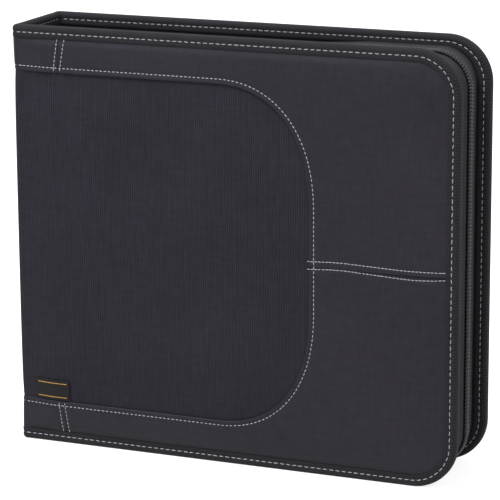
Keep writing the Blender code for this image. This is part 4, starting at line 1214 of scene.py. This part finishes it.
# %% [markdown]
# The studio is a pale floor under soft, even light. The floor and the world are white only to the camera
# and in reflections, so the case isn't lit by them, and the floor keeps its shadow.
# %% Floor and world
FLOOR_REACH, FLOOR_LEVEL = 4.0, -0.2 * MM
FLOOR_COLOUR, FLOOR_GLOW, WORLD_LIGHT = 0.60, 0.80, 0.38


def seen_directly(tree):
    """1 for rays from the camera, from glossy faces and through clear ones, or 0."""
    rays = add(tree, "LightPath")
    plain = calc(tree, "MAXIMUM", rays["Is Camera Ray"], rays["Is Glossy Ray"])
    return calc(tree, "MAXIMUM", plain, rays["Is Transmission Ray"])


paper, tree, shader = blank("studio_paper", base_color=(FLOOR_COLOUR,) * 3 + (1.0,), roughness=0.9)
glow = add(tree, "Emission", {"Strength": calc(tree, "MULTIPLY", seen_directly(tree), FLOOR_GLOW)})
both = add(tree, "AddShader", enumerate((shader.outputs[0], glow[0])))
tree.links.new(both[0], tree.nodes["Material Output"].inputs["Surface"])
reach = np.linspace(-FLOOR_REACH, FLOOR_REACH, 9)
floor_points = grid_of(reach[:, None], reach[None], FLOOR_LEVEL)
mesh_object("studio_floor", floor_points, quads_of(9, 9).tolist(), paper)

world = bpy.data.worlds.new("studio")
bpy.context.scene.world = world
world.use_nodes = True
sky = world.node_tree
strength = calc(sky, "MULTIPLY_ADD", seen_directly(sky), 1.0 - WORLD_LIGHT, WORLD_LIGHT)
background = sky.nodes["Background"]
sky.links.new(strength, background.inputs["Strength"])
background.inputs["Color"].default_value = (1.0, 1.0, 1.0, 1.0)
print("floor", 2 * FLOOR_REACH, "m wide")

# %% [markdown]
# Two large square lamps light the case. The key is high on the left, so the top edges are
# lightest, as in the photograph. The fill is low on the right, and opens up the side with the zip.
# %% Lamps
AIM = (0.0, 0.0, 0.14)


def lamp(name, place, size, power):
    """Square soft lamp at a place, turned towards the middle of the case."""
    light = bpy.data.lights.new(name, "AREA")
    light.size = size
    light.energy = power
    thing = bpy.data.objects.new(name, light)
    bpy.context.scene.collection.objects.link(thing)
    thing.location = place
    thing.rotation_euler = Vector(np.array(AIM) - np.array(place)).to_track_quat("-Z", "Y").to_euler()


lamp("soft_key", (-0.45, -0.75, 1.95), 1.0, 60.0)
lamp("soft_fill", (1.6, -1.2, 0.9), 1.4, 13.0)
print("lamps:", len(bpy.data.lights))

# %% [markdown]
# The camera was fitted to corners of the case in the photograph: a long lens from the right and a little
# above. Its place is worked out from its angles, its distance and the point that it looks at.
# %% Camera
CAMERA_FOCUS, PICTURE_WIDTH, SENSOR = 2641.0, 500, 36.0
AZIMUTH, ELEVATION, ROLL = (math.radians(angle) for angle in (22.8, 13.61, -0.34))
CAMERA_DISTANCE, CAMERA_TARGET = 1.741, (-0.5 * MM, 0.0, 137.6 * MM)
level_way = math.cos(ELEVATION)
back = np.array([math.sin(AZIMUTH) * level_way, -math.cos(AZIMUTH) * level_way, math.sin(ELEVATION)])
level = np.array([math.cos(AZIMUTH), math.sin(AZIMUTH), 0.0])
up = np.cross(back, level)
across = math.cos(ROLL) * level + math.sin(ROLL) * up
upright = math.cos(ROLL) * up - math.sin(ROLL) * level
camera = bpy.data.objects.new("camera", bpy.data.cameras.new("camera"))
camera.data.sensor_width = SENSOR
camera.data.lens = CAMERA_FOCUS / PICTURE_WIDTH * SENSOR
camera.data.clip_end = 50.0
place = np.array(CAMERA_TARGET) + back * CAMERA_DISTANCE
camera.matrix_world = Matrix(np.column_stack([across, upright, back, place]).tolist() + [[0, 0, 0, 1]])
bpy.context.scene.collection.objects.link(camera)
bpy.context.scene.camera = camera
bpy.context.scene.view_settings.view_transform = "Standard"
print("camera at", np.round(place, 3))
